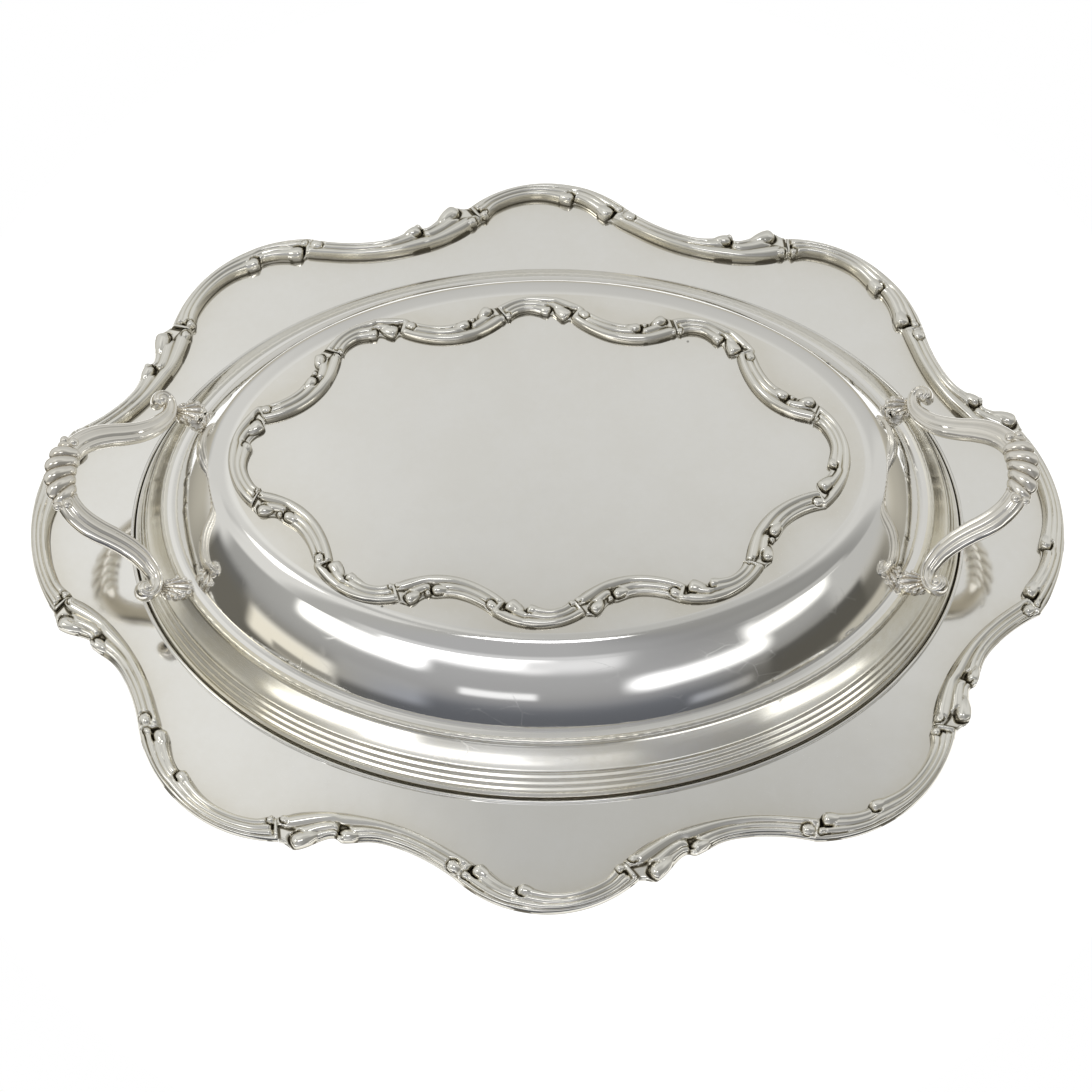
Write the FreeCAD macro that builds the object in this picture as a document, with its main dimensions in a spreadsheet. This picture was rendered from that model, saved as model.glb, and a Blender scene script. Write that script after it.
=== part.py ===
import FreeCAD, Part
import math
import os
import re

import Sketcher
from FreeCAD import Placement, Rotation, Vector

# Covered oval vegetable dish of silver-plated sheet, in millimetres.
# The origin is the centre of the table face under the foot ring, +Z is up,
# X runs along the long axis through the two handles.

# Driving dimensions
# Every ring of the dish is an oval of eight arcs about the same eight centres,
# so the rings run parallel and steps and ledges keep one width all the way round.
sizes = [
    # The long half axis less the short one, the angles at which one arc meets
    # the next, and how much longer the second radius is than the end's
    ("oval_extra", 40.0),
    ("oval_first_meet", 37.27),
    ("oval_second_meet", 65.76),
    ("oval_radius_step", 43.84),
    ("sheet", 1.2),
    # Heights of the foot and the flange above the table, the seat's below the
    # flange, and the collar's and the lid's above it
    ("foot_height", 4.0),
    ("flange_top", 42.0),
    ("seat_drop", 0.8),
    ("collar_rise", 1.1),
    ("lid_rise", 47.0),
    # The collar's short half axis, and from there inward the widths of the
    # base's rings; the foot stands a little outside the edge of the floor
    ("collar_outer", 98.6),
    ("collar_width", 1.4),
    ("seat_width", 5.2),
    ("bowl_spread", 26.0),
    ("foot_spread", 1.0),
    ("foot_width", 3.4),
    # From the collar inward: the gap round the lid and the widths of its rings
    ("lid_gap", 0.4),
    ("wall_spread", 12.3),
    ("ledge_width", 3.6),
    ("shoulder_out", 18.4),
    # Rim outline: how far each scallop bulges from its chord
    ("rim_long_side_rise", 10.6),
    ("rim_hollow1_dip", 6.6),
    ("rim_corner_rise", 10.0),
    ("rim_hollow2_dip", 6.2),
    ("rim_end_rise", 10.8),
    ("rim_width", 7.6),
    ("rim_height", 3.7),
    # Lid border: the same scallops at a smaller scale
    ("lid_long_side_rise", 4.3),
    ("lid_hollow1_dip", 4.2),
    ("lid_corner_rise", 4.6),
    ("lid_hollow2_dip", 4.8),
    ("lid_end_rise", 8.3),
    ("lid_width", 5.6),
    ("lid_height", 2.7),
    ("lid_shift", -2.6),
    # Both borders: lip past the edge that carries them, joint between castings
    ("border_overhang", 0.4),
    ("mount_joint", 0.15),
    # Handle: a reeded bar in a tilted plane, seen square to that plane; its root
    # is set in from the shoulder's foot and up from the ledge
    ("handle_root_inset", 0.4),
    ("handle_root_rise", 3.75),
    ("handle_tilt", 26.3),
    ("handle_bow_radius", 16.5),
    ("handle_bow_centre", 16.9),
    ("handle_bow_half_angle", 70.0),
    ("handle_arm_radius", 82.0),
    ("handle_arm_turn", 18.0),
    ("handle_bar_width", 7.6),
    ("handle_bar_depth", 5.6),
    ("handle_shell_outer", 6.3),
    ("handle_shell_inner", 5.2),
    ("handle_shell_depth", 7.4),
    ("handle_rib_count", 6),
    ("handle_rib_pitch", 11.0),
    ("handle_rib_width", 3.0),
    ("handle_scroll_radius", 4.7),
    ("handle_scroll_reach", 4.3),
    ("handle_scroll_depth", 6.2),
    ("handle_leaf_rise", 4.2),
    ("handle_leaf_clearance", 0.3),
]
# The ledge as a share of the lid's rise, and the shoulder's small round as a
# share of how far the shoulder leans in
ledge_share = 0.431
shoulder_round_share = 0.761
# Points where one scallop ends and the next begins, as shares of the long and
# the short half axis of the oval that each border goes round
rim_knot_shares = [(0.2020, 1.2475), (0.6061, 1.1187), (0.9380, 0.7505), (1.1587, 0.3398)]
lid_knot_shares = [(0.1356, 0.8608), (0.4176, 0.7888), (0.6712, 0.6080), (0.8683, 0.2800)]

doc = FreeCAD.newDocument("vegetable_dish")
sheet = doc.addObject("Spreadsheet::Sheet", "Sizes")
row = 0


def put(alias, content):
    """Write one cell of the sheet and give it its name."""
    global row
    row += 1
    cell = f"B{row}"
    sheet.set(f"A{row}", alias)
    sheet.set(cell, content)
    sheet.setAlias(cell, alias)


for alias, value in sizes:
    put(alias, f"{value:g}")


def put_arc(name, x0, y0, x1, y1, bulge, outward):
    """Radius, centre and angles of the arc over one chord with a given bulge."""
    half = f"(hypot({x1} - ({x0}); {y1} - ({y0})) / 2)"
    put(f"{name}_r", f"=({half} * {half} + ({bulge}) * ({bulge})) / (2 * ({bulge}))")
    sign = "-" if outward else "+"
    back = f"(({name}_r - ({bulge})) / (2 * {half}))"
    put(f"{name}_cx", f"=(({x0}) + ({x1})) / 2 {sign} {back} * (({y0}) - ({y1}))")
    put(f"{name}_cy", f"=(({y0}) + ({y1})) / 2 {sign} {back} * (({x1}) - ({x0}))")
    put(f"{name}_span", f"=2 * asin({half} / {name}_r) / 1deg")
    end_x, end_y = (x1, y1) if outward else (x0, y0)
    put(f"{name}_lo", f"=atan2(({end_y}) - {name}_cy; ({end_x}) - {name}_cx) / 1deg")


# Centres of the oval's arcs, and what to add to a short half axis for each radius
put("oval_taper", "=(1 - sin(oval_second_meet * 1deg)) / cos(oval_second_meet * 1deg)")
put("oval_end_x", "=(oval_extra + oval_radius_step * ((1 - sin(oval_first_meet * 1deg)) - "
    "cos(oval_first_meet * 1deg) * oval_taper)) / (1 - oval_taper)")
put("oval_blend_x", "=oval_end_x - oval_radius_step * cos(oval_first_meet * 1deg)")
put("oval_blend_y", "=oval_radius_step * sin(oval_first_meet * 1deg)")
put("oval_side_step", "=oval_blend_x / cos(oval_second_meet * 1deg)")
put("oval_side_y", "=oval_blend_y + oval_side_step * sin(oval_second_meet * 1deg)")
put("oval_end_more", "=oval_extra - oval_end_x")
put("oval_blend_more", "=oval_end_more + oval_radius_step")
put("oval_side_more", "=oval_blend_more + oval_side_step")

# Short half axes of the rings from the collar inward, and the heights on the lid
put("collar_inner", "=collar_outer - collar_width")
put("bowl_mouth", "=collar_inner - seat_width")
put("bowl_floor", "=bowl_mouth - bowl_spread")
put("foot_outer", "=bowl_floor + foot_spread")
put("foot_inner", "=foot_outer - foot_width")
put("lid_edge", "=collar_inner - lid_gap")
put("ledge_outer", "=lid_edge - wall_spread")
put("dome_foot", "=ledge_outer - ledge_width")
put("top_flat", "=dome_foot - shoulder_out")
put("ledge_top", f"=flange_top + {ledge_share} * lid_rise")
put("lid_top", "=flange_top + lid_rise")
put("handle_root_x", "=dome_foot + oval_extra - handle_root_inset")
put("handle_root_z", "=ledge_top + handle_root_rise")

# The lid's shoulder: a small round at the top that runs into a larger one
put("shoulder_low", "=ledge_top + sheet")
put("shoulder_radius", f"={shoulder_round_share} * shoulder_out")
put("shoulder_up", "=lid_top - shoulder_low - shoulder_radius")
put("shoulder_large", "=(shoulder_out * shoulder_out + shoulder_up * shoulder_up - "
    "shoulder_radius * shoulder_radius) / (2 * (shoulder_out - shoulder_radius))")
put("shoulder_meet", "=atan2(shoulder_up; top_flat - dome_foot + shoulder_large) / 1deg")

# Knots and arcs of both borders
for border, oval, knot_shares in (("rim", "collar_outer", rim_knot_shares),
                                  ("lid", "top_flat", lid_knot_shares)):
    for n, (along, across) in enumerate(knot_shares, start=1):
        put(f"{border}_knot{n}_x", f"={along} * ({oval} + oval_extra)")
        put(f"{border}_knot{n}_y", f"={across} * {oval}")
    knot_x = [f"{border}_knot{n}_x" for n in (1, 2, 3, 4)]
    knot_y = [f"{border}_knot{n}_y" for n in (1, 2, 3, 4)]
    put_arc(f"{border}_side", "-" + knot_x[0], knot_y[0], knot_x[0], knot_y[0],
            f"{border}_long_side_rise", True)
    put_arc(f"{border}_hollow1", knot_x[0], knot_y[0], knot_x[1], knot_y[1],
            f"{border}_hollow1_dip", False)
    put_arc(f"{border}_corner", knot_x[1], knot_y[1], knot_x[2], knot_y[2],
            f"{border}_corner_rise", True)
    put_arc(f"{border}_hollow2", knot_x[2], knot_y[2], knot_x[3], knot_y[3],
            f"{border}_hollow2_dip", False)
    put_arc(f"{border}_end", knot_x[3], knot_y[3], knot_x[3], "-" + knot_y[3],
            f"{border}_end_rise", True)
put("rim_seat", "=flange_top")
put("lid_seat", "=lid_top")
put("rim_shift", "=0")
doc.recompute()
aliases = {sheet.get(f"A{n}") for n in range(1, row + 1)}


def named(text):
    """Point each size named in an expression at the sheet."""
    return re.sub(r"[a-z]\w*", lambda m: "Sizes." + m[0] if m[0] in aliases else m[0], text)


def bind(target, prop, text):
    """Bind one property of an object to an expression on the sheet."""
    target.setExpression(prop, named(text))


def size(alias):
    """Read one size back from the sheet."""
    return float(sheet.get(alias))


def value(text):
    """Work out an expression on the sheet."""
    return float(sheet.evalExpression(named(text)))


# Starting values of placements and constraints, which their expressions replace
start_length = 1
start_turn = 10


def turned_start(axis):
    """A shifted and turned placement, ready for its expressions."""
    return Placement(Vector(start_length, start_length, start_length), Rotation(axis, start_turn))


def bound_constraint(sketch, kind, items, value, text):
    """Add one dimension to a sketch and bind it."""
    index = sketch.addConstraint(Sketcher.Constraint(kind, *items, value))
    bind(sketch, f"Constraints[{index}]", text)


def circles(sketch, items):
    """Circles whose centres and radii are expressions."""
    for n, (x, y, radius) in enumerate(items):
        centre = Vector(value(x), value(y), 0)
        sketch.addGeometry(Part.Circle(centre, Vector(0, 0, 1), value(radius)), False)
        bound_constraint(sketch, "DistanceX", (n, 3), centre.x, x)
        bound_constraint(sketch, "DistanceY", (n, 3), centre.y, y)
        bound_constraint(sketch, "Radius", (n,), value(radius), radius)


def closed_outline(sketch, points):
    """Closed outline through points given as (x, y) or (x, y, radius, centre_left).

    A radius bends the piece that leaves the point into the shorter arc, whose
    centre lies to the left or to the right of the way along it.
    """
    count = len(points)
    place = [Vector(value(point[0]), value(point[1]), 0) for point in points]
    first_end = []
    for n, point in enumerate(points):
        here, there = place[n], place[(n + 1) % count]
        if len(point) == 2:
            sketch.addGeometry(Part.LineSegment(here, there), False)
            first_end.append(1)
            continue
        radius, centre_left = value(point[2]), point[3]
        chord = there - here
        left = Vector(-chord.y, chord.x, 0).normalize()
        reach = math.sqrt(max(radius * radius - chord.Length * chord.Length / 4, 0))
        centre = (here + there) / 2 + (left if centre_left else -left) * reach
        ends = (here, there) if centre_left else (there, here)
        angles = [math.atan2(end.y - centre.y, end.x - centre.x) for end in ends]
        circle = Part.Circle(centre, Vector(0, 0, 1), radius)
        sketch.addGeometry(Part.ArcOfCircle(circle, angles[0], angles[1]), False)
        first_end.append(1 if centre_left else 2)
    for n, point in enumerate(points):
        after = (n + 1) % count
        ends = (n, 3 - first_end[n], after, first_end[after])
        sketch.addConstraint(Sketcher.Constraint("Coincident", *ends))
        bound_constraint(sketch, "DistanceX", (n, first_end[n]), place[n].x, point[0])
        bound_constraint(sketch, "DistanceY", (n, first_end[n]), place[n].y, point[1])
        if len(point) > 2:
            bound_constraint(sketch, "Radius", (n,), value(point[2]), point[2])


def body_sketch(body, name, plane):
    """A sketch on one of the body's own origin planes."""
    sketch = body.newObject("Sketcher::SketchObject", name)
    feature = [f for f in body.Origin.OriginFeatures if f.Role == plane][0]
    sketch.AttachmentSupport = (feature, [""])
    sketch.MapMode = "FlatFace"
    return sketch


def plan_sketch(body, name, height):
    """A level sketch at a height above the table."""
    sketch = body_sketch(body, name, "XY_Plane")
    bind(sketch, "AttachmentOffset.Base.z", height)
    return sketch


def named_body(name):
    """An empty body whose label names its file."""
    body = doc.addObject("PartDesign::Body", name)
    body.Label = name
    return body


def pad(body, name, sketch, length):
    """Raise a sketch into a solid."""
    feature = body.newObject("PartDesign::Pad", name)
    feature.Profile = sketch
    bind(feature, "Length", length)
    return feature


def revolved(body, name, section, arc, height):
    """Turn a section about the centre of one arc, from the arc's start through its span.

    The section's points are (distance from the centre, height) and may bend as
    in closed_outline.
    """
    sketch = body_sketch(body, f"{name}_section", "XZ_Plane")
    sketch.AttachmentOffset = turned_start(Vector(0, 1, 0))
    bind(sketch, "AttachmentOffset.Base.x", arc["x"])
    bind(sketch, "AttachmentOffset.Base.y", height)
    bind(sketch, "AttachmentOffset.Base.z", f"-({arc['y']})")
    bind(sketch, "AttachmentOffset.Rotation.Angle", arc["lo"])
    closed_outline(sketch, section)
    feature = body.newObject("PartDesign::Revolution", name)
    feature.Profile = sketch
    feature.ReferenceAxis = (sketch, ["V_Axis"])
    bind(feature, "Angle", arc["span"])
    return feature


# Ovals
def oval_arcs():
    """The eight arcs of every oval, anticlockwise from the right-hand end."""
    first, second = "oval_first_meet", "oval_second_meet"
    quarter = [("oval_end", "oval_end_x", "0", f"-{first}", f"2 * {first}"),
               ("oval_blend", "oval_blend_x", "-oval_blend_y", first, f"{second} - {first}"),
               ("oval_side", "0", "-oval_side_y", second, f"180 - 2 * {second}"),
               ("oval_blend", "-oval_blend_x", "-oval_blend_y", f"180 - {second}", f"{second} - {first}")]
    arcs = []
    for turned in (False, True):
        for kind, x, y, low, span in quarter:
            arcs.append({"x": f"-({x})" if turned else x, "y": f"-({y})" if turned else y,
                         "lo": f"({low}) + 180" if turned else f"({low})", "span": f"({span})",
                         "more": f"{kind}_more"})
    return arcs


def oval_outline(half):
    """Points of the oval with a given short half axis."""
    points = []
    for arc in oval_arcs():
        radius = f"(({half}) + {arc['more']})"
        points.append((f"{arc['x']} + {radius} * cos(({arc['lo']}) * 1deg)",
                       f"{arc['y']} + {radius} * sin(({arc['lo']}) * 1deg)", radius, True))
    return points


def oval_plate(body, name, half, height, length):
    """A flat oval plate."""
    sketch = plan_sketch(body, f"{name}_plan", height)
    closed_outline(sketch, oval_outline(half))
    return pad(body, name, sketch, length)


def oval_ring(body, name, section):
    """Carry a section of (short half axis, height) points round the oval."""
    for n, arc in enumerate(oval_arcs(), 1):
        points = [(f"({point[0]}) + {arc['more']}",) + tuple(point[1:]) for point in section]
        revolved(body, f"{name}_{n}", points, arc, "0")


# Scalloped outline of the flange
def scalloped_outline():
    """Sixteen arcs clockwise from the long side, alternately hollow and bulging."""
    upper = [(f"rim_knot{n}", "", "") for n in (1, 2, 3, 4)]
    lower = [(name, "", "-") for name, _, _ in reversed(upper)]
    far = [(name, "-", "" if sign else "-") for name, _, sign in upper + lower]
    kinds = ["hollow1", "corner", "hollow2", "end", "hollow2", "corner", "hollow1", "side"] * 2
    return [(f"{sign_x}{name}_x", f"{sign_y}{name}_y", f"rim_{kind}_r", "hollow" in kind)
            for (name, sign_x, sign_y), kind in zip(upper + lower + far, kinds)]


# Base dish: flange, raised collar, lid seat and well, pressed from one sheet
# The well's wall, as shares of the way out from floor to mouth and of the way up
well_shares = [(0.42, 0.07), (0.78, 0.30)]
# Points of the collar and the flange overlap, as shares of the collar's width
flange_lap_share = 2.0


def make_base_dish():
    """The pressed sheet that carries everything else."""
    body = named_body("base_dish")
    flange = plan_sketch(body, "flange_outline", "flange_top - sheet")
    closed_outline(flange, scalloped_outline())
    pad(body, "flange", flange, "sheet")
    hole = plan_sketch(body, "mouth_outline", "flange_top")
    closed_outline(hole, oval_outline("collar_outer"))
    mouth = body.newObject("PartDesign::Pocket", "mouth")
    mouth.Profile = hole
    mouth.Midplane = True
    bind(mouth, "Length", "flange_top")
    seat = "flange_top - seat_drop"
    lap = f"collar_outer + {flange_lap_share} * (collar_outer - collar_inner)"
    floor = "foot_height + sheet"
    wall = [(f"bowl_floor + {out} * (bowl_mouth - bowl_floor)", f"{floor} + {up} * ({seat} - {floor})")
            for out, up in well_shares]
    outside = [(f"{half} + sheet", f"{height} - sheet") for half, height in wall]
    section = [(lap, "flange_top - sheet"), (lap, "flange_top"), ("collar_outer", "flange_top"),
               ("collar_outer", "flange_top + collar_rise / 2"),
               ("(collar_outer + collar_inner) / 2", "flange_top + collar_rise"),
               ("collar_inner", "flange_top + collar_rise / 2"), ("collar_inner", seat),
               ("bowl_mouth", seat)]
    section += wall[::-1]
    section += [("bowl_floor", floor), ("bowl_floor - sheet", floor), ("bowl_floor - sheet", "foot_height"),
                ("bowl_floor", "foot_height")]
    section += outside
    section += [("bowl_mouth + sheet", f"{seat} - sheet"), ("collar_outer", f"{seat} - sheet")]
    oval_ring(body, "dish", section)
    oval_plate(body, "floor", "bowl_floor - sheet / 2", "foot_height", "sheet")
    return body


def make_foot_ring():
    """Low ring under the floor on which the dish stands."""
    body = named_body("foot_ring")
    oval_ring(body, "foot", [("foot_inner", "0"), ("foot_outer", "0"), ("foot_outer", "foot_height"),
                             ("foot_inner", "foot_height")])
    return body


# Lid shell: flat top, round shoulder, ledge and stepped wall
# The wall from its foot to the ledge, as shares of the way in and of the way up
wall_shares = [(0.0, 0.0), (0.0, 0.12), (0.16, 0.29), (0.26, 0.40), (0.42, 0.53), (0.67, 0.74),
               (0.93, 0.90)]
# The inside of the wall, measured the same way but without its steps
wall_inside_shares = [(0.0, 0.0), (0.0, 0.10), (0.37, 0.46), (0.94, 0.93)]
# Where the shoulder's bands meet, as shares of the way up the large and the small round
shoulder_shares = [(0.0, 0.5), (0.0, 0.33, 0.67, 1.0)]
shoulder_inside_shares = [(0.0, 0.5), (0.0, 0.5, 1.0)]


def shoulder(shares, inset):
    """Points up the shoulder's large round and then its small one."""
    large, small = shares
    centre = "dome_foot - shoulder_large"
    points = []
    for share in large:
        angle = f"({share} * shoulder_meet * 1deg)"
        radius = f"(shoulder_large - {inset})"
        points.append((f"{centre} + {radius} * cos({angle})", f"shoulder_low + {radius} * sin({angle})"))
    for share in small:
        angle = f"((shoulder_meet + {share} * (90 - shoulder_meet)) * 1deg)"
        radius = f"(shoulder_radius - {inset})"
        points.append((f"top_flat + {radius} * cos({angle})",
                       f"lid_top - shoulder_radius + {radius} * sin({angle})"))
    return points


def make_lid_shell():
    """The lid's sheet, hollow underneath."""
    body = named_body("lid_shell")
    seat = "flange_top - seat_drop"
    way = "(lid_edge - ledge_outer)"
    outside = [(f"lid_edge - {way_in} * {way}", f"{seat} + {up} * (ledge_top - ({seat}))")
               for way_in, up in wall_shares]
    inside = [(f"lid_edge - sheet - {way_in} * {way}", f"{seat} + {up} * (ledge_top - sheet - ({seat}))")
              for way_in, up in wall_inside_shares]
    outside += [("ledge_outer", "ledge_top"), ("dome_foot", "ledge_top")]
    outside += shoulder(shoulder_shares, "0")
    outside += [("top_flat - sheet", "lid_top"), ("top_flat - sheet", "lid_top - sheet")]
    inside += [("dome_foot - sheet", "ledge_top - sheet")]
    inside += shoulder(shoulder_inside_shares, "sheet")
    oval_ring(body, "shell", outside + inside[::-1])
    oval_plate(body, "top", "top_flat - sheet / 2", "lid_top - sheet", "sheet")
    return body


# Border castings: each is one scallop and the hollow after it, clockwise
# Ridges of the moulding from its outer edge to its inner edge, as shares of
# its width and of its height
ridge_shares = [(0.0, 0.0), (0.20, 1.0), (0.48, 0.58), (0.72, 0.82), (1.0, 0.0)]
# Beads, buds and scrolls: share of the arc's length, share of the width from
# the outer edge, and radius as a share of the width
scallop_bead_shares = [(0.62, 0.93, 0.25)]
hollow_bead_shares = [(0.91, 0.04, 0.38)]
collar_long_share = 0.30
collar_tall_share = 1.08
bead_tall_share = 0.92
slot_tall_share = 3.0


def arc_of(border, kind, below):
    """Centre, radius and angles of one outline arc, mirrored where it lies below the long axis."""
    name = f"{border}_{kind}"
    if not below:
        return {"x": f"{name}_cx", "y": f"{name}_cy", "r": f"{name}_r", "span": f"{name}_span",
                "lo": f"{name}_lo", "out": "hollow" not in kind}
    return {"x": f"{name}_cx", "y": f"-{name}_cy", "r": f"{name}_r", "span": f"{name}_span",
            "lo": f"-({name}_lo + {name}_span)", "out": "hollow" not in kind}


def half_turn(body, turned):
    """Turn a body to the far side of the dish where it belongs there."""
    if turned:
        body.Placement = Placement(Vector(0, 0, 0), Rotation(Vector(0, 0, 1), 180))


def moulding(body, name, border, arc):
    """Turn the ridges about the centre of one arc."""
    sign, back = ("-", "+") if arc["out"] else ("+", "-")
    lip = f"{arc['r']} {back} border_overhang"
    points = [(f"{lip} {sign} {across} * ({border}_width + border_overhang)", f"{up} * {border}_height")
              for across, up in ridge_shares]
    return revolved(body, name, points, arc, f"{border}_seat")


def beads(body, name, border, arc, shares):
    """Round bosses set along one arc."""
    sign = "-" if arc["out"] else "+"
    items = []
    for along, across, radius in shares:
        travel = 1 - along if arc["out"] else along
        angle = f"(({arc['lo']}) + {travel} * {arc['span']}) * 1deg"
        reach = f"({arc['r']} {sign} {across} * {border}_width)"
        items.append((f"{arc['x']} + {reach} * cos({angle})", f"{arc['y']} + {reach} * sin({angle})",
                      f"{radius} * {border}_width"))
    sketch = plan_sketch(body, f"{name}_plan", f"{border}_seat")
    circles(sketch, items)
    return pad(body, name, sketch, f"{bead_tall_share} * {border}_height")


def bar_sketch(body, name, border, arc, at_end, corners):
    """A sketch laid square across the border at one end of a scallop."""
    sketch = body_sketch(body, f"{name}_plan", "XY_Plane")
    sketch.AttachmentOffset = turned_start(Vector(0, 0, 1))
    angle = f"({arc['lo']})" if at_end else f"({arc['lo']} + {arc['span']})"
    bind(sketch, "AttachmentOffset.Base.x", f"{arc['x']} + {arc['r']} * cos({angle} * 1deg)")
    bind(sketch, "AttachmentOffset.Base.y", f"{arc['y']} + {arc['r']} * sin({angle} * 1deg)")
    bind(sketch, "AttachmentOffset.Base.z", f"{border}_seat")
    bind(sketch, "AttachmentOffset.Rotation.Angle", angle)
    closed_outline(sketch, corners)
    return sketch


def rectangle(low_x, high_x, low_y, high_y):
    """Corners of a rectangle from expressions for its sides."""
    return [(low_x, low_y), (high_x, low_y), (high_x, high_y), (low_x, high_y)]


def collar_bar(body, name, border, arc, at_end):
    """A bar across the moulding at one end of a scallop."""
    half = f"({collar_long_share} * {border}_width / 2)"
    corners = rectangle(f"-{border}_width", "border_overhang", f"-{half}", half)
    sketch = bar_sketch(body, name, border, arc, at_end, corners)
    return pad(body, name, sketch, f"{collar_tall_share} * {border}_height")


def joint_slot(body, name, border, arc):
    """The slot that parts a casting from the first collar of the next one."""
    near = f"({collar_long_share} * {border}_width / 2 + mount_joint)"
    corners = rectangle(f"-2 * {border}_width", f"2 * {border}_width", f"-{border}_width", near)
    sketch = bar_sketch(body, name, border, arc, False, corners)
    slot = body.newObject("PartDesign::Pocket", name)
    slot.Profile = sketch
    bind(slot, "Length", f"{slot_tall_share} * {border}_height")
    slot.Midplane = True
    return slot


def make_mount(border, number, scallop, hollow, following, turned):
    """One casting: scallop, hollow, the collars at both ends of the scallop, and its beads."""
    body = named_body(f"{border}_mount_{number}")
    collar_bar(body, "middle_collar", border, scallop, True)
    moulding(body, "scallop", border, scallop)
    moulding(body, "hollow", border, hollow)
    collar_bar(body, "first_collar", border, scallop, False)
    beads(body, "scallop_beads", border, scallop, scallop_bead_shares)
    beads(body, "hollow_beads", border, hollow, hollow_bead_shares)
    body.Tip = joint_slot(body, "joint", border, following)
    half_turn(body, turned)
    bind(body, "Placement.Base.x", f"{border}_shift")
    return body


def make_border(border):
    """The eight castings of one border, clockwise from the long side."""
    kinds = [("side", False, "hollow1", False), ("corner", False, "hollow2", False),
             ("end", False, "hollow2", True), ("corner", True, "hollow1", True)]
    followers = [("corner", False), ("end", False), ("corner", True)]
    # The scallop after the fourth is the far long side: the first one, turned by half a turn
    far_side = arc_of(border, "side", False)
    far_side.update(x=f"-{far_side['x']}", y=f"-{far_side['y']}", lo=f"({far_side['lo']} - 180)")
    following = [arc_of(border, kind, below) for kind, below in followers] + [far_side]
    castings = []
    for turned in (False, True):
        for (scallop, below, hollow, hollow_below), after in zip(kinds, following):
            castings.append(make_mount(border, len(castings) + 1, arc_of(border, scallop, below),
                                       arc_of(border, hollow, hollow_below), after, turned))
    return castings


# Handles: a reeded bar bowed outward, a fluted shell at its middle, a scroll
# and a leaf at each end; only the leaves touch the lid, on its ledge
# Section of the bar, as shares of its width and depth, with three reeds on top
bar_shares = [(-0.42, -0.4), (0.42, -0.4), (0.5, 0.2), (0.34, 0.44), (0.17, 0.30), (0.0, 0.52),
              (-0.17, 0.30), (-0.34, 0.44), (-0.5, 0.2)]
# Half a rib of the shell, as shares of its length outward and of its width
rib_shares = [(0.0, 0.25), (0.80, 0.50), (1.0, 0.20)]
# Corners of the leaf beside the dome, as shares of the dome's short half axis
leaf_dome_shares = (0.345, 0.405)
# Corners of the leaf round the scroll, as shares of the scroll's radius
leaf_scroll_shares = [(-0.3, 0.9), (0.6, 0.5), (0.3, -0.9), (-0.7, -1.3)]


def slope_sketch(body, name, along):
    """A sketch in the handle's tilted plane, its origin a given way up the slope."""
    sketch = body_sketch(body, name, "XY_Plane")
    sketch.AttachmentOffset = turned_start(Vector(0, -1, 0))
    bind(sketch, "AttachmentOffset.Base.x", f"handle_root_x + ({along}) * cos(handle_tilt * 1deg)")
    bind(sketch, "AttachmentOffset.Base.y", "0")
    bind(sketch, "AttachmentOffset.Base.z", f"handle_root_z + ({along}) * sin(handle_tilt * 1deg)")
    bind(sketch, "AttachmentOffset.Rotation.Angle", "handle_tilt")
    return sketch


def handle_path(body):
    """Half of the bar's centre line: the bow from its middle, then the arm bending back."""
    sketch = slope_sketch(body, "path", "handle_bow_centre")
    bow, arm = size("handle_bow_radius"), size("handle_arm_radius")
    bend = math.radians(size("handle_bow_half_angle"))
    back = math.radians(size("handle_bow_half_angle") - size("handle_arm_turn"))
    axis = Vector(0, 0, 1)
    arm_centre = Vector(math.cos(bend), math.sin(bend), 0) * (bow + arm)
    sketch.addGeometry(Part.ArcOfCircle(Part.Circle(Vector(0, 0, 0), axis, bow), 0, bend), False)
    arm_circle = Part.Circle(arm_centre, axis, arm)
    sketch.addGeometry(Part.ArcOfCircle(arm_circle, back + math.pi, bend + math.pi), False)
    sketch.addConstraint(Sketcher.Constraint("Coincident", 0, 3, -1, 1))
    bound_constraint(sketch, "Radius", (0,), bow, "handle_bow_radius")
    sketch.addConstraint(Sketcher.Constraint("PointOnObject", 0, 1, -1))
    bound_constraint(sketch, "DistanceY", (0, 2), bow * math.sin(bend),
                     "handle_bow_radius * sin(handle_bow_half_angle * 1deg)")
    sketch.addConstraint(Sketcher.Constraint("Tangent", 0, 2, 1, 2))
    bound_constraint(sketch, "Radius", (1,), arm, "handle_arm_radius")
    end_x = arm_centre.x - arm * math.cos(back)
    bound_constraint(sketch, "DistanceX", (1, 1), end_x,
                     "(handle_bow_radius + handle_arm_radius) * cos(handle_bow_half_angle * 1deg) - "
                     "handle_arm_radius * cos((handle_bow_half_angle - handle_arm_turn) * 1deg)")
    return sketch


def mirrored(body, name, features, sketch):
    """Repeat features across the plane through the long axis."""
    mirror = body.newObject("PartDesign::Mirrored", name)
    mirror.Originals = features
    plane = [f for f in body.Origin.OriginFeatures if f.Role == "XZ_Plane"][0]
    mirror.MirrorPlane = (plane, [""])
    body.Tip = mirror
    return mirror


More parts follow.
